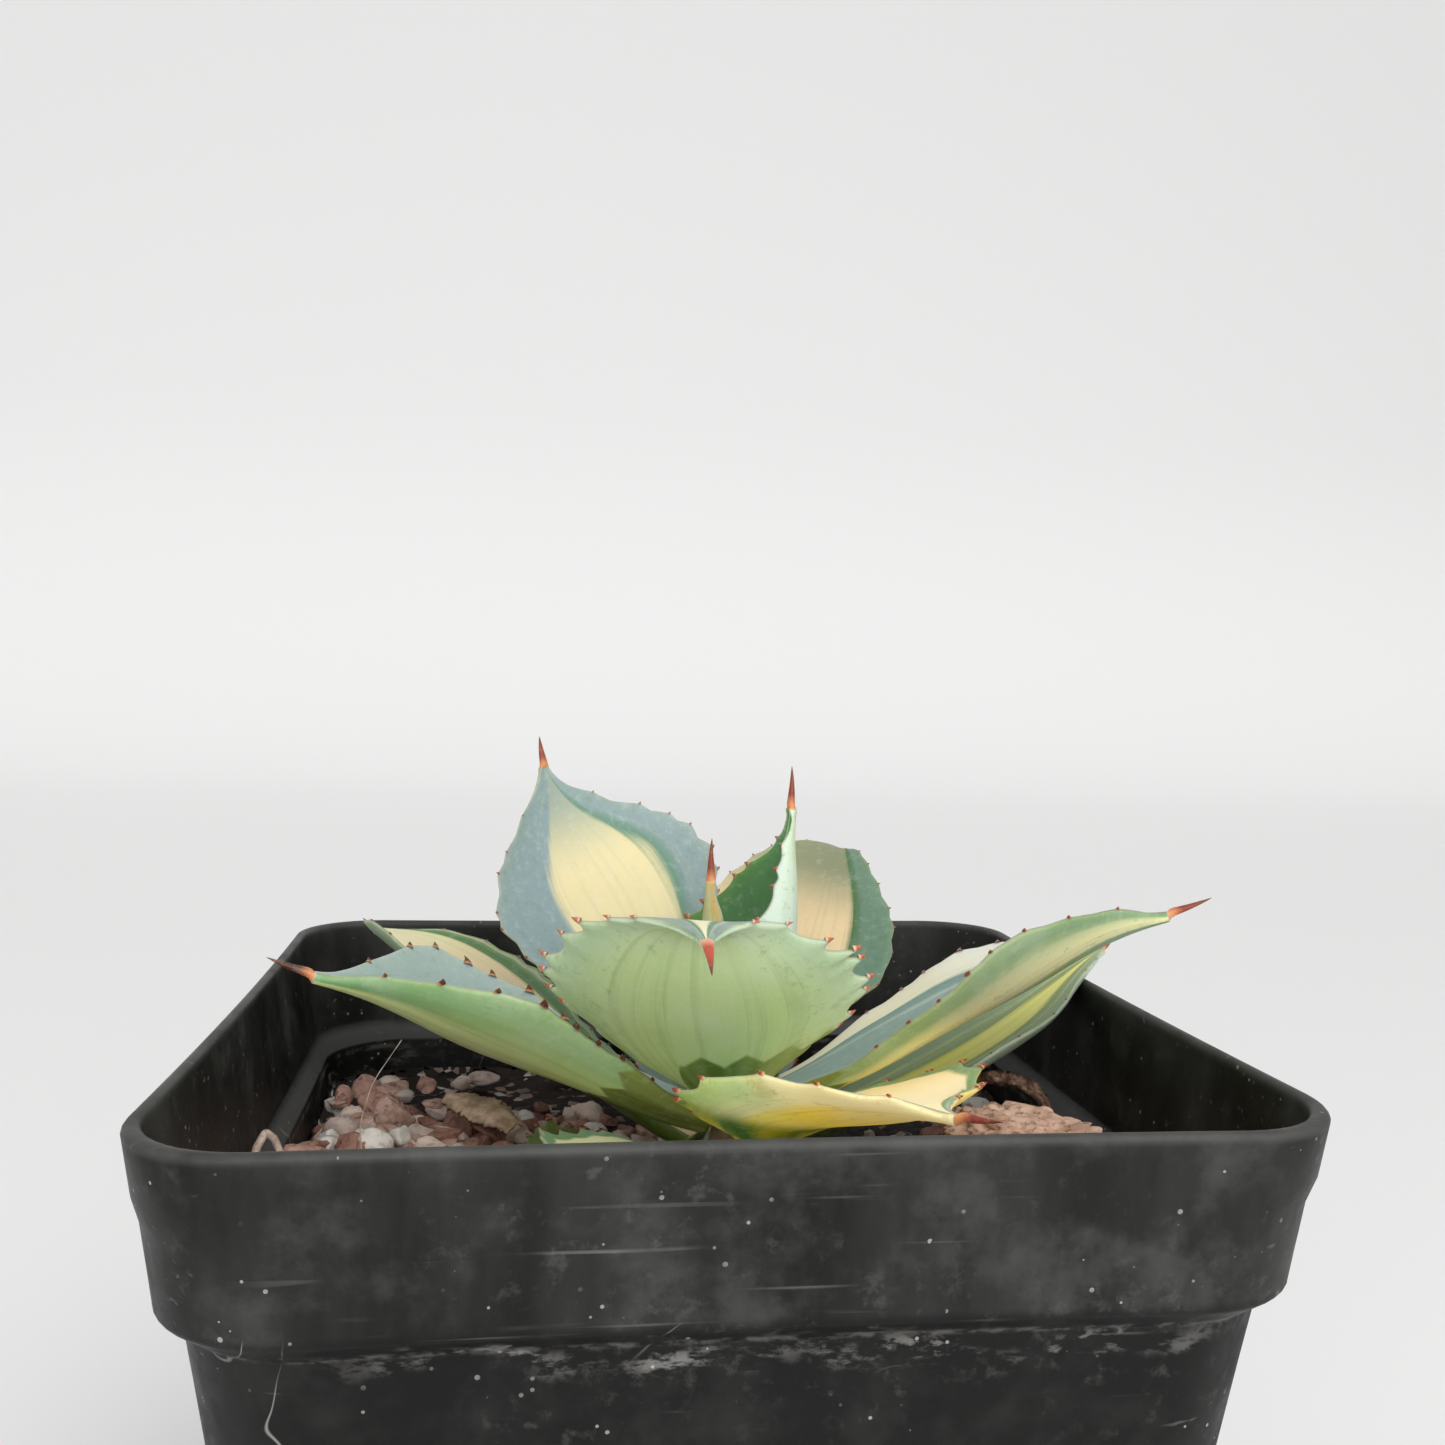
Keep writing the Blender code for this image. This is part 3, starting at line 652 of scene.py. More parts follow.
leaves = [
    Leaf("spear", 215, 0.0125, 82, 2, 0, 0.0165, 0.0046, 60, spine=0.0043, start=0.0024,
         base_half_width=0.0012, base_thickness=0.0012, thickness=0.0010, teeth=0, widest=0.4,
         look={"Edge": (0.16, 0.28, 0.05, 1), "Bloom": (0.20, 0.34, 0.06, 1), "Cream Width": 0.0,
               "Bloom Tip": (0.62, 0.34, 0.08, 1), "Bare End": -1.0}),
    Leaf("young", 17, 0.0114, 80, 6, -4, 0.0246, 0.0225, 78, roll=-5, twist=5, hook=-2, widest=0.38,
         taper=2.1, spine=0.0045, start=0.0020, base_half_width=0.0020, base_thickness=0.0016,
         thickness=0.0012, teeth=7, tooth=0.8, cusp=0.0007,
         look={"Edge": (0.10, 0.25, 0.10, 1), "Cream Width": 0.0, "Band": (0.07, 0.20, 0.07, 1),
               "Bloom": (0.56, 0.67, 0.58, 1), "Bloom Tip": (0.46, 0.57, 0.37, 1), "Bare End": -1.0,
               "Under Edge": (0.60, 0.74, 0.60, 1), "Stripe Width": 0.0}),
    Leaf("back_left_tall", 139.7, 0.0087, 47, 10, 5, 0.0374, 0.0270, 29, roll=26, twist=7, hook=17,
         hook_aside=9, widest=0.58, spine=0.0035, start=0.0038, slot="leaf_yellow", teeth=9, tooth=0.45,
         cusp=0.0008, sharp=1.05,
         look={"Cream": (0.29, 0.35, 0.29, 1), "Heart": (0.70, 0.62, 0.36, 1), "Cream Side": 0.11,
               "Cream Width": 0.47, "Cream End": 1.22, "Heart End": 0.93, "Edge": (0.235, 0.315, 0.33, 1),
               "Band": (0.13, 0.25, 0.18, 1), "Band Side": 0.75, "Streaks": 0.9}),
    Leaf("back_right", 61.5, 0.0086, 44.5, -8, -5, 0.0375, 0.0234, 15, roll=-10, hook=-54, widest=0.42,
         taper=1.25, spine=0.0025, spine_bend=-0.0008, start=0.0038, slot="leaf_yellow", tooth=0.4,
         cusp=0.0004, sharp=1.1,
         look={"Cream": (0.25, 0.27, 0.16, 1), "Heart": (0.80, 0.62, 0.37, 1), "Cream Side": -0.35,
               "Cream Width": 0.88, "Cream End": 1.5, "Heart End": 0.78, "Edge": (0.15, 0.25, 0.18, 1),
               "Band": (0.08, 0.17, 0.06, 1), "Band Side": 0.78, "Streaks": 1.0}),
    Leaf("front", 249.5, 0.0088, 25.3, 28.9, 15, 0.0427, 0.0289, 23, roll=-6.9, twist=11, hook=-69.5,
         hook_aside=5.5, flat_tip=0.9, widest=0.51, taper=1.14, spine=0.0040, spine_bend=-0.0008,
         start=0.0035, teeth=10, tooth=1.05, cusp=0.0015, sharp=2.0,
         look={"Bloom": (0.48, 0.62, 0.26, 1), "Bloom Tip": (0.56, 0.66, 0.46, 1), "Bare End": 0.315,
               "Bare": (0.09, 0.17, 0.010, 1), "Bare Side": -0.55, "Bare Reach": 0.85, "Scuffs": 0.45,
               "Under Edge": (0.38, 0.52, 0.36, 1), "Stripe": (0.50, 0.62, 0.30, 1),
               "Horn Low": (0.85, 0.48, 0.30, 1), "Horn Tip": (0.42, 0.07, 0.04, 1),
               "Stripe Side": 0.1, "Stripe Width": 0.5}),
    Leaf("right", -12.5, 0.0077, 26, 6, -3, 0.0426, 0.0270, 30, roll=-10, twist=32, hook=-14,
         hook_aside=-2, spine=0.0046, teeth=8, tooth=0.75, cusp=0.00035, sharp=1.2,
         look={"Cream": (0.86, 0.85, 0.70, 1), "Heart": (0.88, 0.82, 0.58, 1), "Cream Side": -0.92,
               "Cream Width": 0.22, "Cream End": 1.3, "Edge": (0.28, 0.40, 0.36, 1),
               "Band": (0.20, 0.32, 0.28, 1), "Bloom": (0.46, 0.54, 0.22, 1),
               "Bloom Tip": (0.12, 0.23, 0.10, 1), "Stripe": (0.90, 0.84, 0.44, 1),
               "Stripe Side": 0.55, "Stripe Width": 0.28, "Under Edge": (0.16, 0.27, 0.14, 1),
               "Bare End": 0.12}),
    Leaf("left", 202.6, 0.0063, 19.7, 9, -4.4, 0.0418, 0.0247, 47, roll=4.5, twist=-6.8, hook=-11.2,
         hook_aside=-2.5, widest=0.66, taper=1.52, teeth=8, tooth=1.2, cusp=0.00025, sharp=1.2,
         look={"Cream": (0.80, 0.72, 0.50, 1), "Heart": (0.80, 0.74, 0.46, 1), "Cream Side": -0.50,
               "Cream Width": 0.40, "Edge": (0.32, 0.42, 0.40, 1), "Bloom": (0.50, 0.64, 0.24, 1),
               "Bloom Tip": (0.08, 0.22, 0.05, 1), "Bare": (0.11, 0.12, 0.008, 1), "Bare End": 0.30,
               "Horn Tip": DARK_BROWN, "Under Edge": (0.22, 0.38, 0.19, 1),
               "Stripe": (0.62, 0.70, 0.30, 1), "Stripe Side": -0.35, "Stripe Width": 0.25}),
    # This leaf's glow is painted light: an emission of its skin colour brightens it where the rim shades it.
    Leaf("front_right", -70, 0.0049, 25.5, -14, 2, 0.0315, 0.0310, 21, roll=-8, twist=23, hook=-10,
         hook_aside=14, widest=0.48, spine=0.0043, slot="leaf_yellow", teeth=7, cusp=0.0012,
         look={"Cream": (0.95, 0.76, 0.46, 1), "Heart": (0.95, 0.72, 0.36, 1), "Cream Side": -0.3,
               "Cream Width": 0.55, "Edge": (0.28, 0.38, 0.28, 1), "Band": (0.20, 0.30, 0.12, 1),
               "Bloom": (0.95, 0.66, 0.01, 1), "Bloom Tip": (0.95, 0.74, 0.34, 1), "Bare End": 0.45,
               "Bare": (0.03, 0.09, 0.005, 1), "Jag": 0.05, "Bare Soft": 0.10, "Edge Fade": 0.60,
               "Under Edge": (0.26, 0.44, 0.12, 1), "Stripe": (0.95, 0.78, 0.44, 1),
               "Stripe Side": 0.95, "Stripe Width": 0.34, "Glow": 0.36}),
    Leaf("low_left", 148.5, 0.0026, 19.7, 5.2, -12, 0.0500, 0.0250, 23, roll=-21, twist=8.5, hook=-29,
         hook_aside=-13, widest=0.68, taper=1.25, spine=0.0040, slot="leaf_yellow", teeth=9, tooth=0.6,
         cusp=0.0007, sharp=1.3,
         look={"Cream": (0.80, 0.78, 0.44, 1), "Heart": (0.95, 0.76, 0.46, 1), "Heart End": 0.95,
               "Cream Side": -0.12, "Cream Width": 0.84, "Cream End": 1.6, "Edge": (0.20, 0.32, 0.17, 1),
               "Band": (0.10, 0.22, 0.08, 1)}),
    Leaf("low_right", 9.2, 0.0034, 12, 21.6, 16.8, 0.0474, 0.0205, 28, roll=-4.5, twist=11,
         hook=-29.5, hook_aside=18, widest=0.50, taper=1.4, spine=0.0036, slot="leaf_yellow", tooth=0.35,
         cusp=0.0003, sharp=1.2,
         look={"Cream": (0.95, 0.90, 0.26, 1), "Heart": (0.85, 0.78, 0.14, 1), "Cream Side": 0.28,
               "Cream Width": 0.22, "Edge": (0.32, 0.43, 0.27, 1), "Band": (0.30, 0.38, 0.14, 1),
               "Cream End": 1.1}),
    # This leaf's glow is painted light: a faint emission of its skin colour.
    Leaf("low_front", 246, 0.0023, 13, -4, 0, 0.0330, 0.0236, 24, hook=-6, base_thickness=0.0020,
         slot="leaf_yellow", tooth=0.3,
         look={"Glow": 0.10, "Cream": (0.80, 0.76, 0.48, 1), "Heart": (0.80, 0.76, 0.48, 1),
               "Cream Side": 0.3, "Cream Width": 0.55, "Cream End": 1.3, "Edge": (0.22, 0.33, 0.22, 1)}),
    Leaf("low_back", 90, -0.0002, 20, -4, 0, 0.0350, 0.0240, 24, hook=-6, base_thickness=0.0020,
         look={"Cream": (0.62, 0.56, 0.30, 1), "Heart": (0.70, 0.60, 0.30, 1)}),
    Leaf("bottom_left", 203, -0.0006, 12, -4, 0, 0.0215, 0.0180, 24, hook=-4, base_thickness=0.0020,
         look={"Edge": (0.14, 0.18, 0.05, 1), "Bloom": (0.12, 0.15, 0.04, 1), "Cream Width": 0.25,
               "Cream": (0.30, 0.30, 0.10, 1), "Bloom Tip": (0.12, 0.18, 0.06, 1)}),
]


def half_width(leaf, t):
    """From the narrow base to the widest place, then in to the end spine."""
    half = leaf.width / 2
    growing = leaf.base_half_width + (half - leaf.base_half_width) * smooth(t / leaf.widest) ** 0.9
    past = np.clip((t - leaf.widest) / (1 - leaf.widest), 0, 1)
    narrowing = SPINE_RADIUS + (half - SPINE_RADIUS) * np.cos(np.pi / 2 * past) ** leaf.taper
    return np.where(t < leaf.widest, growing, narrowing)


def cup_at(leaf, t):
    """How far the blade's halves turn up at this share of its length. The cup can fade at the tip."""
    return np.radians(leaf.cup) * (1 - leaf.flat_tip * smooth((t - 0.62) / 0.3))


def directions(leaf, t):
    """Unit vectors along the midrib, across the blade and out of its upper face."""
    end = smooth((t - 0.72) / 0.28)
    up = np.radians(leaf.rise + leaf.bend * t + leaf.hook * end)
    round_ = np.radians(leaf.azimuth + leaf.sweep * t + leaf.hook_aside * end)
    along = np.stack([np.cos(up) * np.cos(round_), np.cos(up) * np.sin(round_), np.sin(up)], 1)
    side = np.stack([np.sin(round_), -np.cos(round_), 0 * t], 1)
    face = np.cross(side, along)
    roll = np.radians((leaf.roll + leaf.twist * t) * smooth(t / 0.35))[:, None]
    side = side * np.cos(roll) + face * np.sin(roll)
    return along, side, np.cross(side, along)


def midrib(leaf, t):
    """Points of the midrib at these shares of its length."""
    steps = np.linspace(0, 1, 401)
    middle = (steps[1:] + steps[:-1]) / 2
    moves = directions(leaf, middle)[0] * leaf.length / 400
    azimuth = math.radians(leaf.azimuth)
    start = np.array([
        stem_centre.x + leaf.start * math.cos(azimuth),
        stem_centre.y + leaf.start * math.sin(azimuth),
        soil_level + leaf.height,
    ])
    line = np.vstack([start, start + np.cumsum(moves, 0)])
    return np.stack([np.interp(t, steps, line[:, k]) for k in range(3)], 1)


def tooth_places(leaf, shake):
    """(share of length, size) of each tooth on one edge: largest past the middle."""
    found = []
    for i in range(leaf.teeth):
        t = TEETH_FROM + TEETH_SPAN * (i + 0.5 + shake.uniform(-0.22, 0.22)) / leaf.teeth
        along_edge = min(max((t - 0.1) / 0.85, 0), 1)
        found.append((t, (0.55 + 0.55 * math.sin(math.pi * along_edge)) * shake.uniform(0.8, 1.15)))
    return found


def scallops(leaf, t, teeth):
    """How far the edge stands out: cusps at the teeth with hollows between."""
    out = np.zeros_like(t)
    reach = TEETH_SPAN / max(leaf.teeth, 1) * 0.60
    for place, size in teeth:
        near = np.clip(1 - np.abs(t - place) / reach, 0, 1)
        out = np.maximum(out, size * near ** leaf.sharp)
    ends = smooth(t / 0.2) * smooth((1 - t) / 0.05)
    return (out - 0.75 * ends) * leaf.cusp


def add_horn(rings, marks, points, faces, values):
    """Adds a pointed horn made of rings, with the colouring values of each ring."""
    first = len(points)
    count = len(rings[0])
    for ring, mark in zip(rings, marks):
        points += ring
        values += [mark] * count
    for quad in strip_faces(len(rings), count, True):
        faces.append(tuple(first + i for i in quad))
    faces.append(tuple(range(first + count * (len(rings) - 1), first + count * len(rings))))


def add_tooth(leaf, place, size, sign, edge, lean, points, faces, values):
    """A small hooked tooth on one edge, that leans to the leaf's tip."""
    along, side, face = (v[0] for v in directions(leaf, np.array([place])))
    angle = cup_at(leaf, place) * sign
    out = side * math.cos(angle) * sign + face * math.sin(angle) * sign
    flat = np.cross(out, along)
    rings = []
    marks = []
    for i in range(6):
        share = i / 5
        bow = along * lean * share * share - out * 0.2 * share * share
        middle = edge + (out * (share - 0.25) + bow) * TOOTH_LENGTH * size
        radius = TOOTH_RADIUS * size * (1 - share) ** 0.85 + 0.00001
        ring = []
        for k in range(8):
            turned = k * math.pi / 4
            wide = along * math.cos(turned) * radius * 1.2
            ring.append(tuple(middle + wide + flat * math.sin(turned) * radius * 0.7))
        rings.append(ring)
        marks.append((place, float(sign), 0.5, 0.04 + 0.96 * share))
    add_horn(rings, marks, points, faces, values)


def leaf_object(leaf, material):
    """The blade, spine and teeth as one mesh, which knows how far along and across each point is."""
    shake = random.Random("leaf " + leaf.name)
    t = np.linspace(0, 1, BLADE_ROWS + 1) ** 0.92
    along, side, face = directions(leaf, t)
    centre = midrib(leaf, t)
    half = half_width(leaf, t)
    cup = cup_at(leaf, t) * (0.35 + 0.65 * smooth(t / 0.5))
    flesh = leaf.base_thickness + (leaf.thickness - leaf.base_thickness) * smooth(t / 0.45)
    flesh = flesh * (1 - 0.6 * smooth((t - 0.6) / 0.4))
    teeth = {sign: tooth_places(leaf, shake) for sign in (-1, 1)}
    bumps = {sign: scallops(leaf, t, teeth[sign]) for sign in (-1, 1)}
    sway = shake.uniform(0, 6.28)
    top = -np.cos(np.linspace(0, math.pi, BLADE_COLUMNS + 1))
    section = [(s, 0) for s in top] + [(s, 1) for s in top[1:-1][::-1]]
    ends = smooth(t * 3) * smooth((1 - t) * 5)
    columns = []
    for across, under in section:
        bump = bumps[1 if across > 0 else -1] * abs(across) ** 9
        wave = EDGE_WAVE * abs(across) ** 3 * np.sin(t * 19 + sway + across * 2) * ends
        angle = across * cup
        depth = under * (EDGE_THICKNESS + flesh * (1 - across * across) ** 0.85)
        x = half / cup * np.sin(angle) + np.sin(angle) * depth + np.sign(across) * np.cos(angle) * bump
        z = half / cup * (1 - np.cos(angle)) - np.cos(angle) * depth + np.abs(np.sin(angle)) * bump + wave
        columns.append(centre + side * x[:, None] + face * z[:, None])
    grid = np.stack(columns, 1)
    points = [tuple(p) for p in grid.reshape(-1, 3)]
    values = [(row, across, under, 0.0) for row in t for across, under in section]
    faces = strip_faces(len(t), len(section), True)
    faces.append(tuple(range(len(section)))[::-1])
    rings = []
    marks = []
    for i in range(SPINE_ROWS + 1):
        share = i / SPINE_ROWS
        middle = centre[-1] + along[-1] * leaf.spine * share + face[-1] * leaf.spine_bend * share * share
        radius = SPINE_RADIUS * (1 - share) ** 0.8 + 0.00002
        blend_in = float(smooth(share / 0.12))
        ring = []
        for k, (across, under) in enumerate(section):
            turned = math.acos(-across) * (-1 if under else 1)
            out = face[-1] * math.sin(turned) * 0.9 - side[-1] * math.cos(turned)
            flat_point = grid[-1, k] + along[-1] * leaf.spine * share
            ring.append(tuple(flat_point * (1 - blend_in) + (middle + out * radius) * blend_in))
        rings.append(ring)
        marks.append((1.0, 0.0, 0.0, 0.06 + 0.94 * share))
    add_horn(rings, marks, points, faces, values)
    for sign in (-1, 1):
        edge_line = grid[:, 0 if sign < 0 else BLADE_COLUMNS]
        for place, size in teeth[sign]:
            edge = np.array([np.interp(place, t, edge_line[:, k]) for k in range(3)])
            lean = shake.uniform(0.15, 0.5)
            add_tooth(leaf, place, size * leaf.tooth, sign, edge, lean, points, faces, values)
    obj = mesh_object("agave_leaf_" + leaf.name, points, faces, material)
    for column, name in enumerate(("along", "across", "under", "horn")):
        attribute = obj.data.attributes.new(name, "FLOAT", "POINT")
        attribute.data.foreach_set("value", np.array([v[column] for v in values], np.float32))
    return obj


def build_leaf_skin():
    """The colouring of every leaf, from how far along and across the blade a point is."""
    usual = {
        "Seed": 0.0,
        "Cream Side": 0.0,
        "Cream Width": 0.5,
        "Cream End": 1.15,
        "Heart End": 0.62,
        "Cream": (0.88, 0.82, 0.56, 1),
        "Heart": (0.93, 0.74, 0.42, 1),
        "Band": (0.16, 0.28, 0.15, 1),
        "Band Side": 0.0,
        "Edge": (0.28, 0.38, 0.34, 1),
        "Streaks": 0.45,
        "Bloom": (0.34, 0.44, 0.22, 1),
        "Bloom Tip": (0.44, 0.55, 0.38, 1),
        "Under Edge": (0.30, 0.40, 0.32, 1),
        "Edge Fade": 3.0,
        "Stripe": (0.50, 0.54, 0.26, 1),
        "Stripe Side": 0.0,
        "Stripe Width": 0.3,
        "Bare": (0.12, 0.18, 0.02, 1),
        "Bare End": 0.2,
        "Bare Side": 0.0,
        "Bare Reach": 9.0,
        "Bare Soft": 0.010,
        "Jag": 0.34,
        "Scuffs": 0.3,
        "Horn Low": ORANGE,
        "Horn Tip": RED_BROWN,
    }
    outputs = {"Color": "Color", "Roughness": "Float", "Height": "Float"}
    tree, given, gives = new_group("leaf_skin", usual, outputs)
    along, across, under, horn = (
        take(tree, "Attribute", "Fac", attribute_name=name) for name in ("along", "across", "under", "horn")
    )
    place = take(tree, "TexCoord", "Object")
    near_edge = abs(across)

    def lengthwise(fine_across, fine_along, offset):
        inputs = {0: along * fine_along, 1: across * fine_across, 2: given["Seed"] + offset}
        return noise_value(take(tree, "CombineXYZ", 0, inputs), 1.0, 3.0, 0.6)

    def off_by(value, target):
        return abs(value - target)

    broad = lengthwise(3.2, 1.1, 0.0)
    streak = lengthwise(14.0, 1.4, 4.0)
    vein = lengthwise(75.0, 3.0, 9.0)
    cloudy = noise_value(place, 230.0, 5.0, 0.6)
    smear = noise_value(place, 90.0, 3.0, 0.5)
    grain = noise_value(place, 1900.0, 2.0, 0.6)
    speckle = noise_value(place, 950.0, 4.0, 0.75)

    # The cream middle of the upper face, the dark line beside it and the blue-green edges.
    middle = off_by(across, given["Cream Side"])
    cream_end = given["Cream End"]
    narrowing = ease(along, cream_end - 0.6, cream_end, 1.0, 0.0)
    half_cream = given["Cream Width"] * narrowing
    ragged = (broad - 0.5) * 0.3
    ragged = ragged + (streak - 0.5) * 0.14
    half_cream = half_cream + ragged * ease(half_cream, 0.0, 0.2)
    outside = middle - half_cream
    in_cream = ease(outside, -0.045, 0.045, 1.0, 0.0)
    in_band = ease(outside, 0.03, 0.2, 1.0, 0.0)
    side_ok = ease(across * given["Band Side"], -0.1, 0.05)
    in_band = in_band * calc("MAXIMUM", side_ok, ease(off_by(given["Band Side"], 0.0), 0.0, 0.1, 1.0, 0.0))
    upper = mix(in_band, given["Edge"], given["Band"])
    pale_line = ease(off_by(outside, 0.185), 0.0, 0.05, 1.0, 0.0)
    pale_line = pale_line * (given["Streaks"] * ease(broad, 0.42, 0.62))
    upper = mix(pale_line, upper, given["Cream"])
    lines = ease(streak, 0.55, 0.72) * 0.22
    upper = mix(lines, upper, given["Band"])
    cream = mix(ease(along, given["Heart End"] - 0.28, given["Heart End"]), given["Heart"], given["Cream"])
    cream = mix(ease(streak, 0.45, 0.8) * 0.16, cream, given["Edge"])
    upper = mix(in_cream, upper, cream)

    # The underside: bloom over green, paler to the tip, with a stripe where the cream shows through.
    below = mix(ease(along, 0.55, 0.95), given["Bloom"], given["Bloom Tip"])
    striped = off_by(across, given["Stripe Side"]) - given["Stripe Width"]
    striped = striped + (broad - 0.5) * 0.3
    below = mix(ease(striped, -0.1, 0.06, 1.0, 0.0) * 0.8, below, given["Stripe"])
    below = mix(ease(streak, 0.46, 0.72) * 0.22, below, given["Bare"])
    edge_zone = ease(near_edge, 0.5, 0.92) * 0.8
    fading = ease(along - given["Edge Fade"], 0.0, 0.12, 1.0, 0.0)
    below = mix(edge_zone * fading, below, given["Under Edge"])
    smeared = ease(smear, 0.4, 0.66) * 0.2
    below = mix(smeared, below, (0.62, 0.7, 0.6, 1))
    rubbed = ease(cloudy, 0.56, 0.68) * ease(smear, 0.46, 0.6)
    rubbed = rubbed * given["Scuffs"]
    below = mix(rubbed, below, mix(0.35, given["Bare"], given["Bloom"]))
    saw = calc("PINGPONG", across + 1.04, 0.155)
    jag = saw * given["Jag"]
    bare_line = given["Bare End"] + jag
    outer = off_by(across, given["Bare Side"]) - given["Bare Reach"]
    bare_line = bare_line - ease(outer, -0.1, 0.12) * 0.2
    past = along - bare_line
    soft = given["Bare Soft"]
    bare = ease(past, soft * -1.0, soft, 1.0, 0.0)
    bare_tone = mix(ease(broad, 0.35, 0.65), given["Bare"], mix(0.3, given["Bare"], given["Bloom"]))
    below = mix(bare, below, bare_tone)

    skin = mix(ease(under, 0.0, 0.5), upper, below)
    frosted = ease(speckle, 0.52, 0.66) * 0.12
    skin = mix(frosted, skin, (0.66, 0.74, 0.72, 1))
    dark_dots = ease(speckle, 0.36, 0.44, 1.0, 0.0) * (0.3 - in_cream * 0.26)
    skin = mix(dark_dots, skin, given["Band"])
    rim_line = ease(near_edge, 0.988, 1.0) * 0.3
    skin = mix(rim_line, skin, (0.3, 0.15, 0.07, 1))
    horn_all = mix(ease(horn, 0.1, 0.42), given["Horn Low"], given["Horn Tip"])
    horn_all = mix(ease(horn, 0.55, 1.0), horn_all, (0.06, 0.016, 0.016, 1))
    horn_all = mix(ease(grain, 0.5, 0.8) * 0.18, horn_all, (0.55, 0.4, 0.35, 1))
    is_horn = ease(horn, 0.03, 0.12)
    skin = mix(is_horn, skin, horn_all)
    rough = 0.48 + cloudy * 0.24
    rough = rough - bare * under * 0.16
    rough = rough - is_horn * 0.18
    height = vein * 0.5 + grain * 0.22
    height = height + cloudy * 0.6
    feed(gives, {"Color": skin, "Roughness": rough, "Height": height})
    return tree


leaf_skin = build_leaf_skin()


def build_leaf_material(leaf, seed):
    """Waxy flesh that scatters a little light. look may also hold a glow strength: the skin colour is then
    emitted, painted light that stands in for light let through the leaf.
    """
    made, tree, shader = new_material("agave_" + leaf.name, 0.35)
    feed(shader, FLESH)
    values = {key: value for key, value in leaf.look.items() if key != "Glow"}
    skin = place_group(tree, leaf_skin, {"Seed": seed, **values})
    surface(shader, skin["Color"], skin["Roughness"], skin["Height"], 0.5, 0.0001)
    # Painted glow: the skin colour is emitted, painted light standing in for light let through the leaf.
    if "Glow" in leaf.look:
        feed(shader, {"Emission Strength": leaf.look["Glow"], "Emission Color": skin["Color"]})
    return made


for number, leaf in enumerate(leaves):
    obj = leaf_object(leaf, build_leaf_material(leaf, 1.7 * number))
    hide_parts("leaf_" + leaf.name)
    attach(obj, "root")


# ---------------------------------------------------------------------------------------------
# Top-dressing. Loose stones in cream, white and grey and chips of pinkish bark lie over the soil,
# with much small grit between them. All are loose and rest on the mix.
GRIT_COUNT = 420
CLEAR_OF_STEM = 0.0145
CHIP_COUNT = 330
STONE_COUNT = 165
GRIT_SIZE = (0.0005, 0.0011)
CHIP_SIZE = (0.0015, 0.0030)
STONE_SIZE = (0.0013, 0.0025)
LUMP_DETAIL = 4
STONE_TONES = [(0.88, 0.72, 0.62), (0.92, 0.86, 0.80), (0.70, 0.56, 0.50), (0.60, 0.57, 0.53)]
BARK_TONES = [(0.46, 0.25, 0.19), (0.34, 0.17, 0.13), (0.56, 0.34, 0.28), (0.66, 0.44, 0.36)]
MIXED_TONES = STONE_TONES + BARK_TONES * 2


def lump(size, shake, detail=LUMP_DETAIL, cuts=7, rough=0.10, chunky=0.80):
    """Points and faces of a stone or chip: a ball cut by a few flat breaks, then roughened."""
    ball = bmesh.new()
    bmesh.ops.create_icosphere(ball, subdivisions=detail, radius=1.0)
    points = np.array([v.co for v in ball.verts])
    faces = [tuple(v.index for v in f.verts) for f in ball.faces]
    ball.free()
    for _ in range(cuts):
        normal = np.array([shake.gauss(0, 1) for _ in range(3)])
        normal /= np.linalg.norm(normal)
        limit = shake.uniform(chunky - 0.22, chunky + 0.05)
        over = points @ normal - limit
        points = points - np.clip(over, 0, None)[:, None] * normal * 0.93
    seed = Vector([shake.uniform(0, 50) for _ in range(3)])
    for i, point in enumerate(points):
        bump = noise.noise(Vector(point) * 2.2 + seed) * rough
        bump += noise.noise(Vector(point) * 7 + seed) * rough * 0.35
        points[i] = point * (1 + bump)
    return points / np.abs(points).max(0) * np.array(size), faces


def build_grit_material(name, first, second, pits, shine=0.80):
    """Dry mineral or bark: two tones in clouds and grains, dark pits and a rough surface."""
    made, tree, shader = new_material(name, 0.25)
    place = take(tree, "TexCoord", "Object")
    cloud = noise_value(place, 420.0, 5.0, 0.6)
    fine = noise_value(place, 2200.0, 3.0, 0.65)
    colour = mix(ease(cloud, 0.36, 0.64), (*first, 1), (*second, 1))
    tint = take(tree, "Attribute", "Color", attribute_name="tint")
    colour = mix(1.0, colour, tint, "MULTIPLY")
    holes = ease(noise_value(place, 1100.0, 4.0, 0.6), 0.36, 0.43, 1.0, 0.0)
    dark = mix(0.75, colour, (0.03, 0.018, 0.014, 1))
    colour = mix(holes * pits, colour, dark)
    colour = mix(ease(fine, 0.55, 0.75) * 0.18, colour, (0.85, 0.8, 0.74, 1))
    height = cloud + fine * 0.4 - holes * pits
    surface(shader, colour, ease(fine, 0.2, 0.8, shine + 0.12, shine - 0.12), height, 0.8, 0.00022)
    return made


def give_tint(obj, tones, counts):
    """Stores each point's tone as a colour attribute. counts says how many points each tone covers."""
    attribute = obj.data.attributes.new("tint", "FLOAT_COLOR", "POINT")
    flat = []
    for tone, count in zip(tones, counts):
        flat += [*tone, 1.0] * count
    attribute.data.foreach_set("color", flat)


stone_skin = build_grit_material("pale_stone", (1.0, 1.0, 1.0), (0.80, 0.78, 0.76), 0.25)
bark_skin = build_grit_material("pink_bark", (1.0, 1.0, 1.0), (0.62, 0.55, 0.52), 0.55)


def turned(points, angles):
    return points @ np.array(Euler(angles).to_matrix()).T


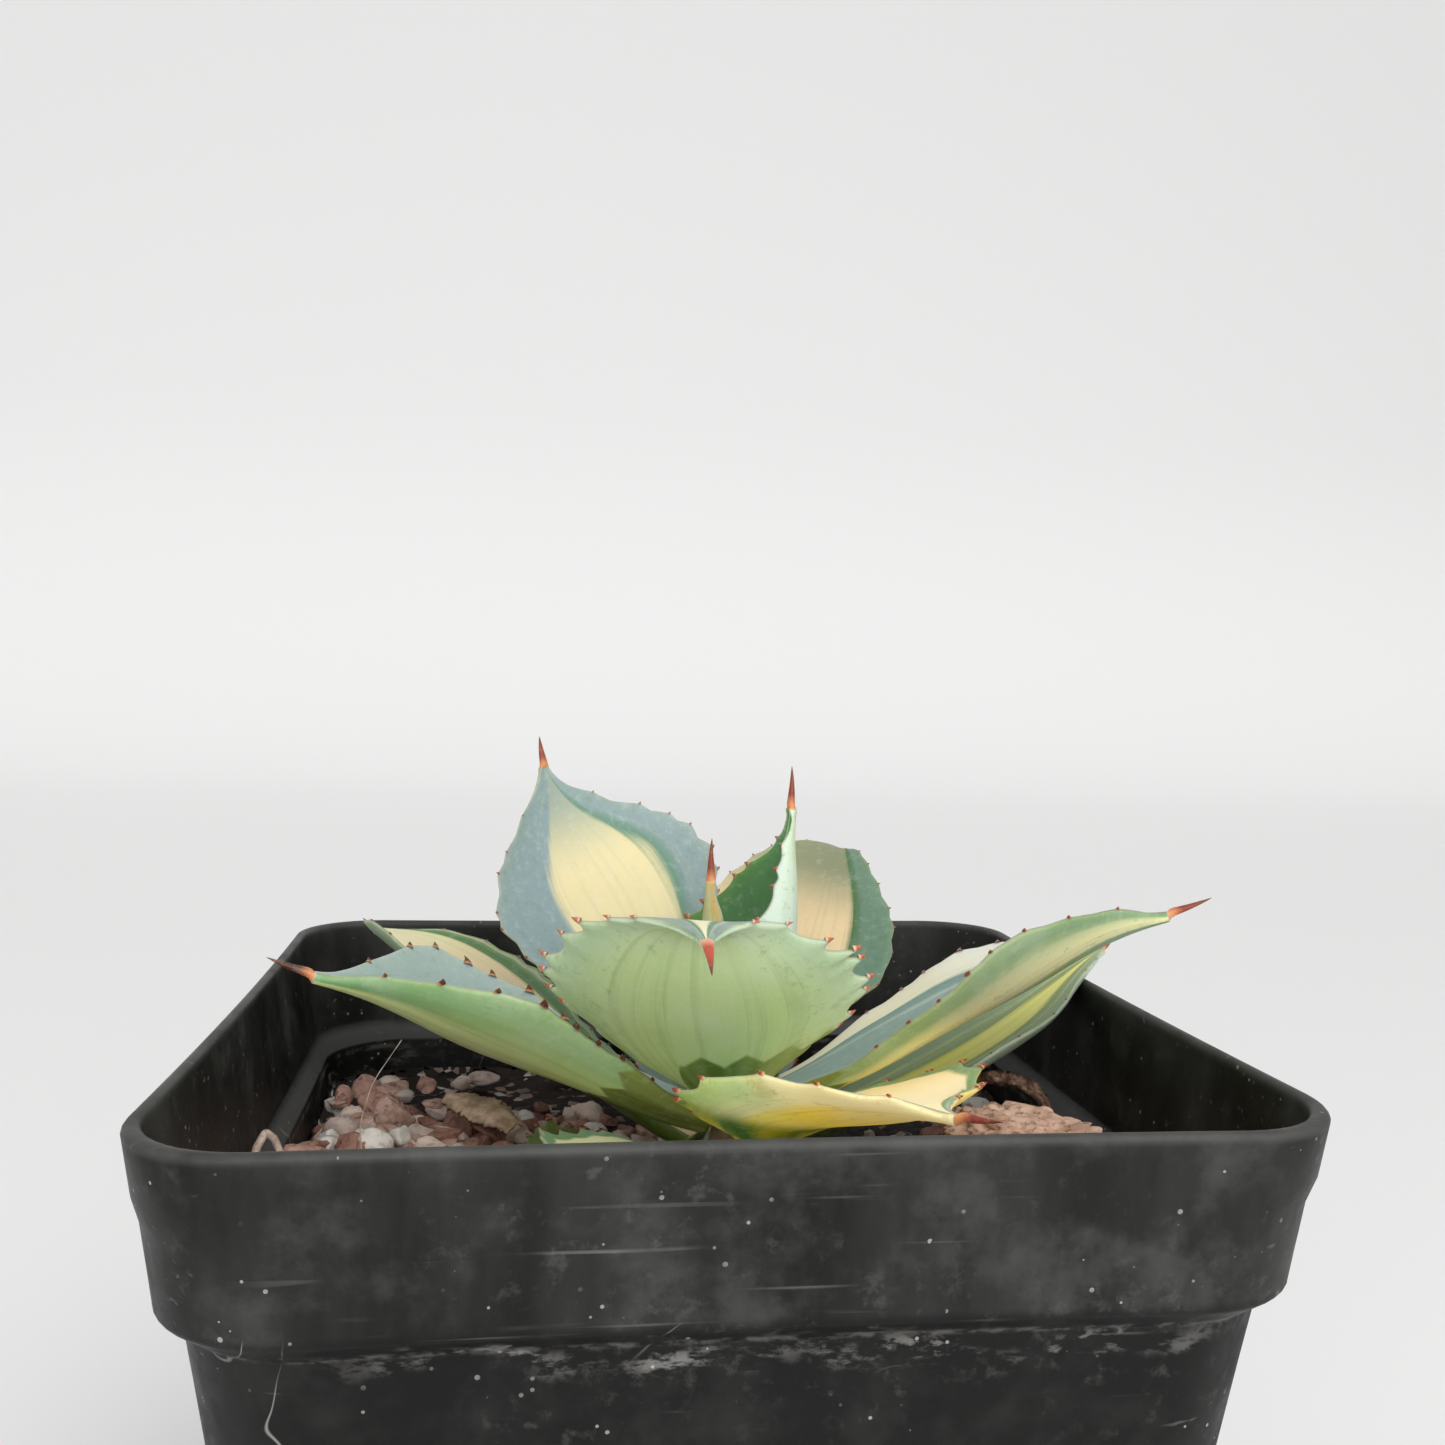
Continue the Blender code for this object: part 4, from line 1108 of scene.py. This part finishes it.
for name in sorted(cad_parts):
    if not name.startswith(("stone_", "bark_chip_")):
        continue
    low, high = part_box(name)
    shake = random.Random(name)
    is_stone = name.startswith("stone_")
    cuts, chunky = (6, 0.86) if is_stone else (10, 0.66)
    points, faces = lump(tuple((high - low) / 2), shake, cuts=cuts, chunky=chunky)
    points = points + np.array((low + high) / 2)
    obj = mesh_object("loose_" + name, points, faces, stone_skin if is_stone else bark_skin)
    give_tint(obj, [shake.choice(STONE_TONES if is_stone else BARK_TONES)], [len(points)])
    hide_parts(name)
    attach(obj, "root")


def scatter(name, count, lengths, flat, tones, material, detail, seed, layer=0.0):
    """One piece made of many small loose grains, spread over the soil up to the pot's walls."""
    shake = random.Random(seed)
    wall = body_half_width(soil_level) - WALL
    points, faces, used, sizes = [], [], [], []
    made = 0
    while made < count:
        length = shake.uniform(*lengths)
        reach = wall - length * 1.15
        x, y = shake.uniform(-reach, reach), shake.uniform(-reach, reach)
        away = math.hypot(x - stem_centre.x, y - stem_centre.y)
        behind = float(smooth((y - 0.016) / 0.010)) if x < 0 else float(smooth((x - 0.004) / 0.010))
        if away < CLEAR_OF_STEM or shake.random() < 0.94 * behind:
            continue
        corner = max(abs(x), abs(y)) + min(abs(x), abs(y)) - (2 * wall - 0.007)
        if corner > 0:
            continue
        size = (length, length * shake.uniform(0.55, 0.85), length * shake.uniform(*flat))
        body, skin = lump(size, shake, detail, 6, 0.12, 0.70)
        body = turned(body, (shake.uniform(-0.5, 0.5), shake.uniform(-0.5, 0.5), shake.uniform(0, math.pi)))
        heap = layer * float(smooth((-x - 0.012) / 0.022)) * float(smooth((y + 0.026) / 0.020))
        body = body + np.array([x, y, soil_height(x, y) + size[2] * 0.55 + heap * shake.random()])
        first = len(points)
        points += list(body)
        faces += [tuple(first + i for i in f) for f in skin]
        used.append(shake.choice(tones))
        sizes.append(len(body))
        made += 1
    obj = mesh_object(name, points, faces, material)
    give_tint(obj, used, sizes)
    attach(obj, "root")
    return obj


scatter("fine_grit", GRIT_COUNT, GRIT_SIZE, (0.5, 0.9), MIXED_TONES, stone_skin, 2, 21, 0.0020)
scatter("small_bark", CHIP_COUNT, CHIP_SIZE, (0.25, 0.5), BARK_TONES, bark_skin, 3, 22, 0.0042)
scatter("small_stones", STONE_COUNT, STONE_SIZE, (0.5, 0.8), STONE_TONES, stone_skin, 3, 23, 0.0040)


# ---------------------------------------------------------------------------------------------
# Scraps. A rough piece of bark lies at the right with a curled, fibrous scrap behind it, a dry tan
# flake lies at the left, a bent twig leans on the left wall and one pale fibre hangs from a leaf.
BARK_HALF_SIZE = (0.0098, 0.0046, 0.0037)
BARK_TURN = (0.0, 0.08, -0.62)
FIBRE_RADIUS = 0.00007


def smooth_line(path, rows, passes):
    """Points spaced along a path with its corners eased, and the direction at each."""
    keys = np.linspace(0, 1, len(path))
    share = np.linspace(0, 1, rows)
    line = np.stack([np.interp(share, keys, [p[k] for p in path]) for k in range(3)], 1)
    for _ in range(passes):
        line[1:-1] = (line[2:] + line[:-2]) / 2 * 0.5 + line[1:-1] * 0.5
    steps = [line[min(i + 1, rows - 1)] - line[max(i - 1, 0)] for i in range(rows)]
    return line, [Vector(step).normalized() for step in steps]


def strip_object(name, path, width, thickness, across, material, fray=0.0, rows=60, columns=10):
    """A dry strip along a smooth path, a little cupped, whose ends narrow and whose edges fray."""
    line, headings = smooth_line(path, rows, 6)
    across = Vector(across).normalized()
    points = []
    for i, ahead in enumerate(headings):
        side = (across - ahead * across.dot(ahead)).normalized()
        up = side.cross(ahead)
        half = width / 2 * (0.45 + 0.55 * math.sin(math.pi * (i + 0.5) / rows))
        for layer in (1, -1):
            for k in range(columns):
                place = (k / (columns - 1) * 2 - 1) * layer
                torn = 1 + fray * noise.noise(Vector((i * 0.55, place * 2, 0.3)))
                cup = 0.18 * width * (place * place - 0.3)
                rumple = 0.10 * width * noise.noise(Vector((i * 0.12, place * 1.5, 4.0)))
                lift = up * (cup + rumple + layer * thickness / 2)
                points.append(tuple(Vector(line[i]) + side * half * place * torn + lift))
    return mesh_object(name, points, capped_faces(rows, 2 * columns), material)


def tube_object(name, path, radius, material, thin_end=1.0, rows=70, sides=10):
    """A round stem along a smooth path."""
    line, headings = smooth_line(path, rows, 8)
    points = []
    for i, ahead in enumerate(headings):
        side = ahead.orthogonal().normalized() if i == 0 else (side - ahead * side.dot(ahead)).normalized()
        up = side.cross(ahead)
        around = radius * (1 + (thin_end - 1) * i / rows) * (1 + 0.12 * noise.noise(Vector((i * 0.3, 0, 0))))
        for k in range(sides):
            angle = k / sides * 2 * math.pi
            points.append(tuple(Vector(line[i]) + (side * math.cos(angle) + up * math.sin(angle)) * around))
    return mesh_object(name, points, capped_faces(rows, sides), material)


def build_dry_material(name, light, dark, stretch):
    """Dry plant matter: long fibres in two tones."""
    made, tree, shader = new_material(name, 0.3)
    place = take(tree, "TexCoord", "Object")
    fibres = noise_value(moved(place, stretch, (0.2, 0.1, 0.5)), 900.0, 4.0, 0.65)
    cloud = noise_value(place, 300.0, 3.0)
    colour = mix(ease(fibres, 0.35, 0.65), (*dark, 1), (*light, 1))
    colour = mix(ease(cloud, 0.5, 0.7) * 0.4, colour, (*dark, 1))
    surface(shader, colour, ease(cloud, 0.3, 0.7, 0.7, 0.9), fibres, 0.7, 0.00012)
    return made


low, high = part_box("bark_large")
centre = (low + high) / 2
points, faces = lump((1, 1, 1), random.Random("bark"), 6, 12, 0.20, 0.80)
ragged_points = []
for point in points:
    groove = abs(noise.noise(Vector((point[0] * 1.4, point[1] * 5.0, point[2] * 5.0)) + Vector((3, 0, 7))))
    pit = max(noise.noise(Vector(point) * 6.5 + Vector((9, 2, 1))) - 0.18, 0)
    ragged_points.append(np.array(point) * (1 + 0.10 * groove - 0.42 * pit))
points = turned(np.array(ragged_points) * np.array(BARK_HALF_SIZE), BARK_TURN)
spread = np.array((high - low) / 2) / np.abs(points).max(0)
points = points * np.minimum(spread, 1.0) + np.array(centre)
bark_piece = mesh_object("large_bark_piece", points, faces, bark_skin)
give_tint(bark_piece, [(0.80, 0.53, 0.42)], [len(points)])
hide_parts("bark_large")
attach(bark_piece, "root")

low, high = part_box("dry_curl")
centre = (low + high) / 2
half_x = (high.x - low.x) / 2 - 0.0018
arch = []
for i in range(13):
    angle = math.pi * (0.05 + 0.90 * i / 12)
    height = low.z + 0.0012 + (high.z - low.z - 0.0024) * math.sin(angle)
    arch.append((centre.x + half_x * math.cos(angle), centre.y - 0.0022 * math.cos(angle), height))
curl_skin = build_dry_material("curled_scrap", (0.34, 0.21, 0.14), (0.075, 0.036, 0.024), (1, 1, 0.2))
curl = strip_object("curled_scrap", arch, 0.0032, 0.0004, (0.6, 1, 0), curl_skin, 0.5)
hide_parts("dry_curl")
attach(curl, "root")

low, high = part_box("dry_flake")
centre = (low + high) / 2
flake_path = []
for i in range(7):
    share = i / 6 * 2 - 1
    rise = 0.0006 * (1 - share * share) - 0.0003 * share
    flake_path.append((centre.x + 0.0036 * share, centre.y - 0.0042 * share, centre.z + rise))
flake_skin = build_dry_material("tan_flake", (0.60, 0.45, 0.31), (0.28, 0.18, 0.11), (0.3, 0.3, 1))
flake = strip_object("tan_flake", flake_path, 0.0040, 0.0004, (1, 0.8, 0.25), flake_skin, 0.35)
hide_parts("dry_flake")
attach(flake, "root")

low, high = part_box("twig")
twig_path = [
    (low.x + 0.0006, low.y + 0.0006, low.z + 0.0004),
    (low.x + 0.0008, low.y + 0.0032, low.z + 0.0024),
    (low.x + 0.0012, high.y - 0.0008, high.z - 0.0007),
    (low.x + 0.0022, high.y - 0.0018, high.z - 0.0010),
    (high.x - 0.0006, low.y + 0.0009, low.z + 0.0012),
]
twig_skin = build_dry_material("pale_twig", (0.66, 0.54, 0.46), (0.34, 0.24, 0.18), (1, 1, 1))
bent_twig = tube_object("bent_twig", twig_path, 0.00040, twig_skin, 0.8)
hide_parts("twig")
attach(bent_twig, "root")

fibre_path = [
    (-0.0316, -0.0085, soil_level + 0.0030),
    (-0.0321, -0.0082, soil_level + 0.0070),
    (-0.0310, -0.0082, soil_level + 0.0110),
    (-0.0284, -0.0084, soil_level + 0.0150),
]
fibre_skin = build_dry_material("pale_fibre", (0.75, 0.70, 0.62), (0.40, 0.25, 0.18), (1, 1, 0.3))
dry_fibre = tube_object("dry_fibre", fibre_path, FIBRE_RADIUS, fibre_skin, 0.5, 40, 6)
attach(dry_fibre, "root")


visual_low, visual_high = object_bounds()
sizes = {
    "cad": [[*map(float, cad_low)], [*map(float, cad_high)]],
    "visual": [[*map(float, visual_low)], [*map(float, visual_high)]],
}
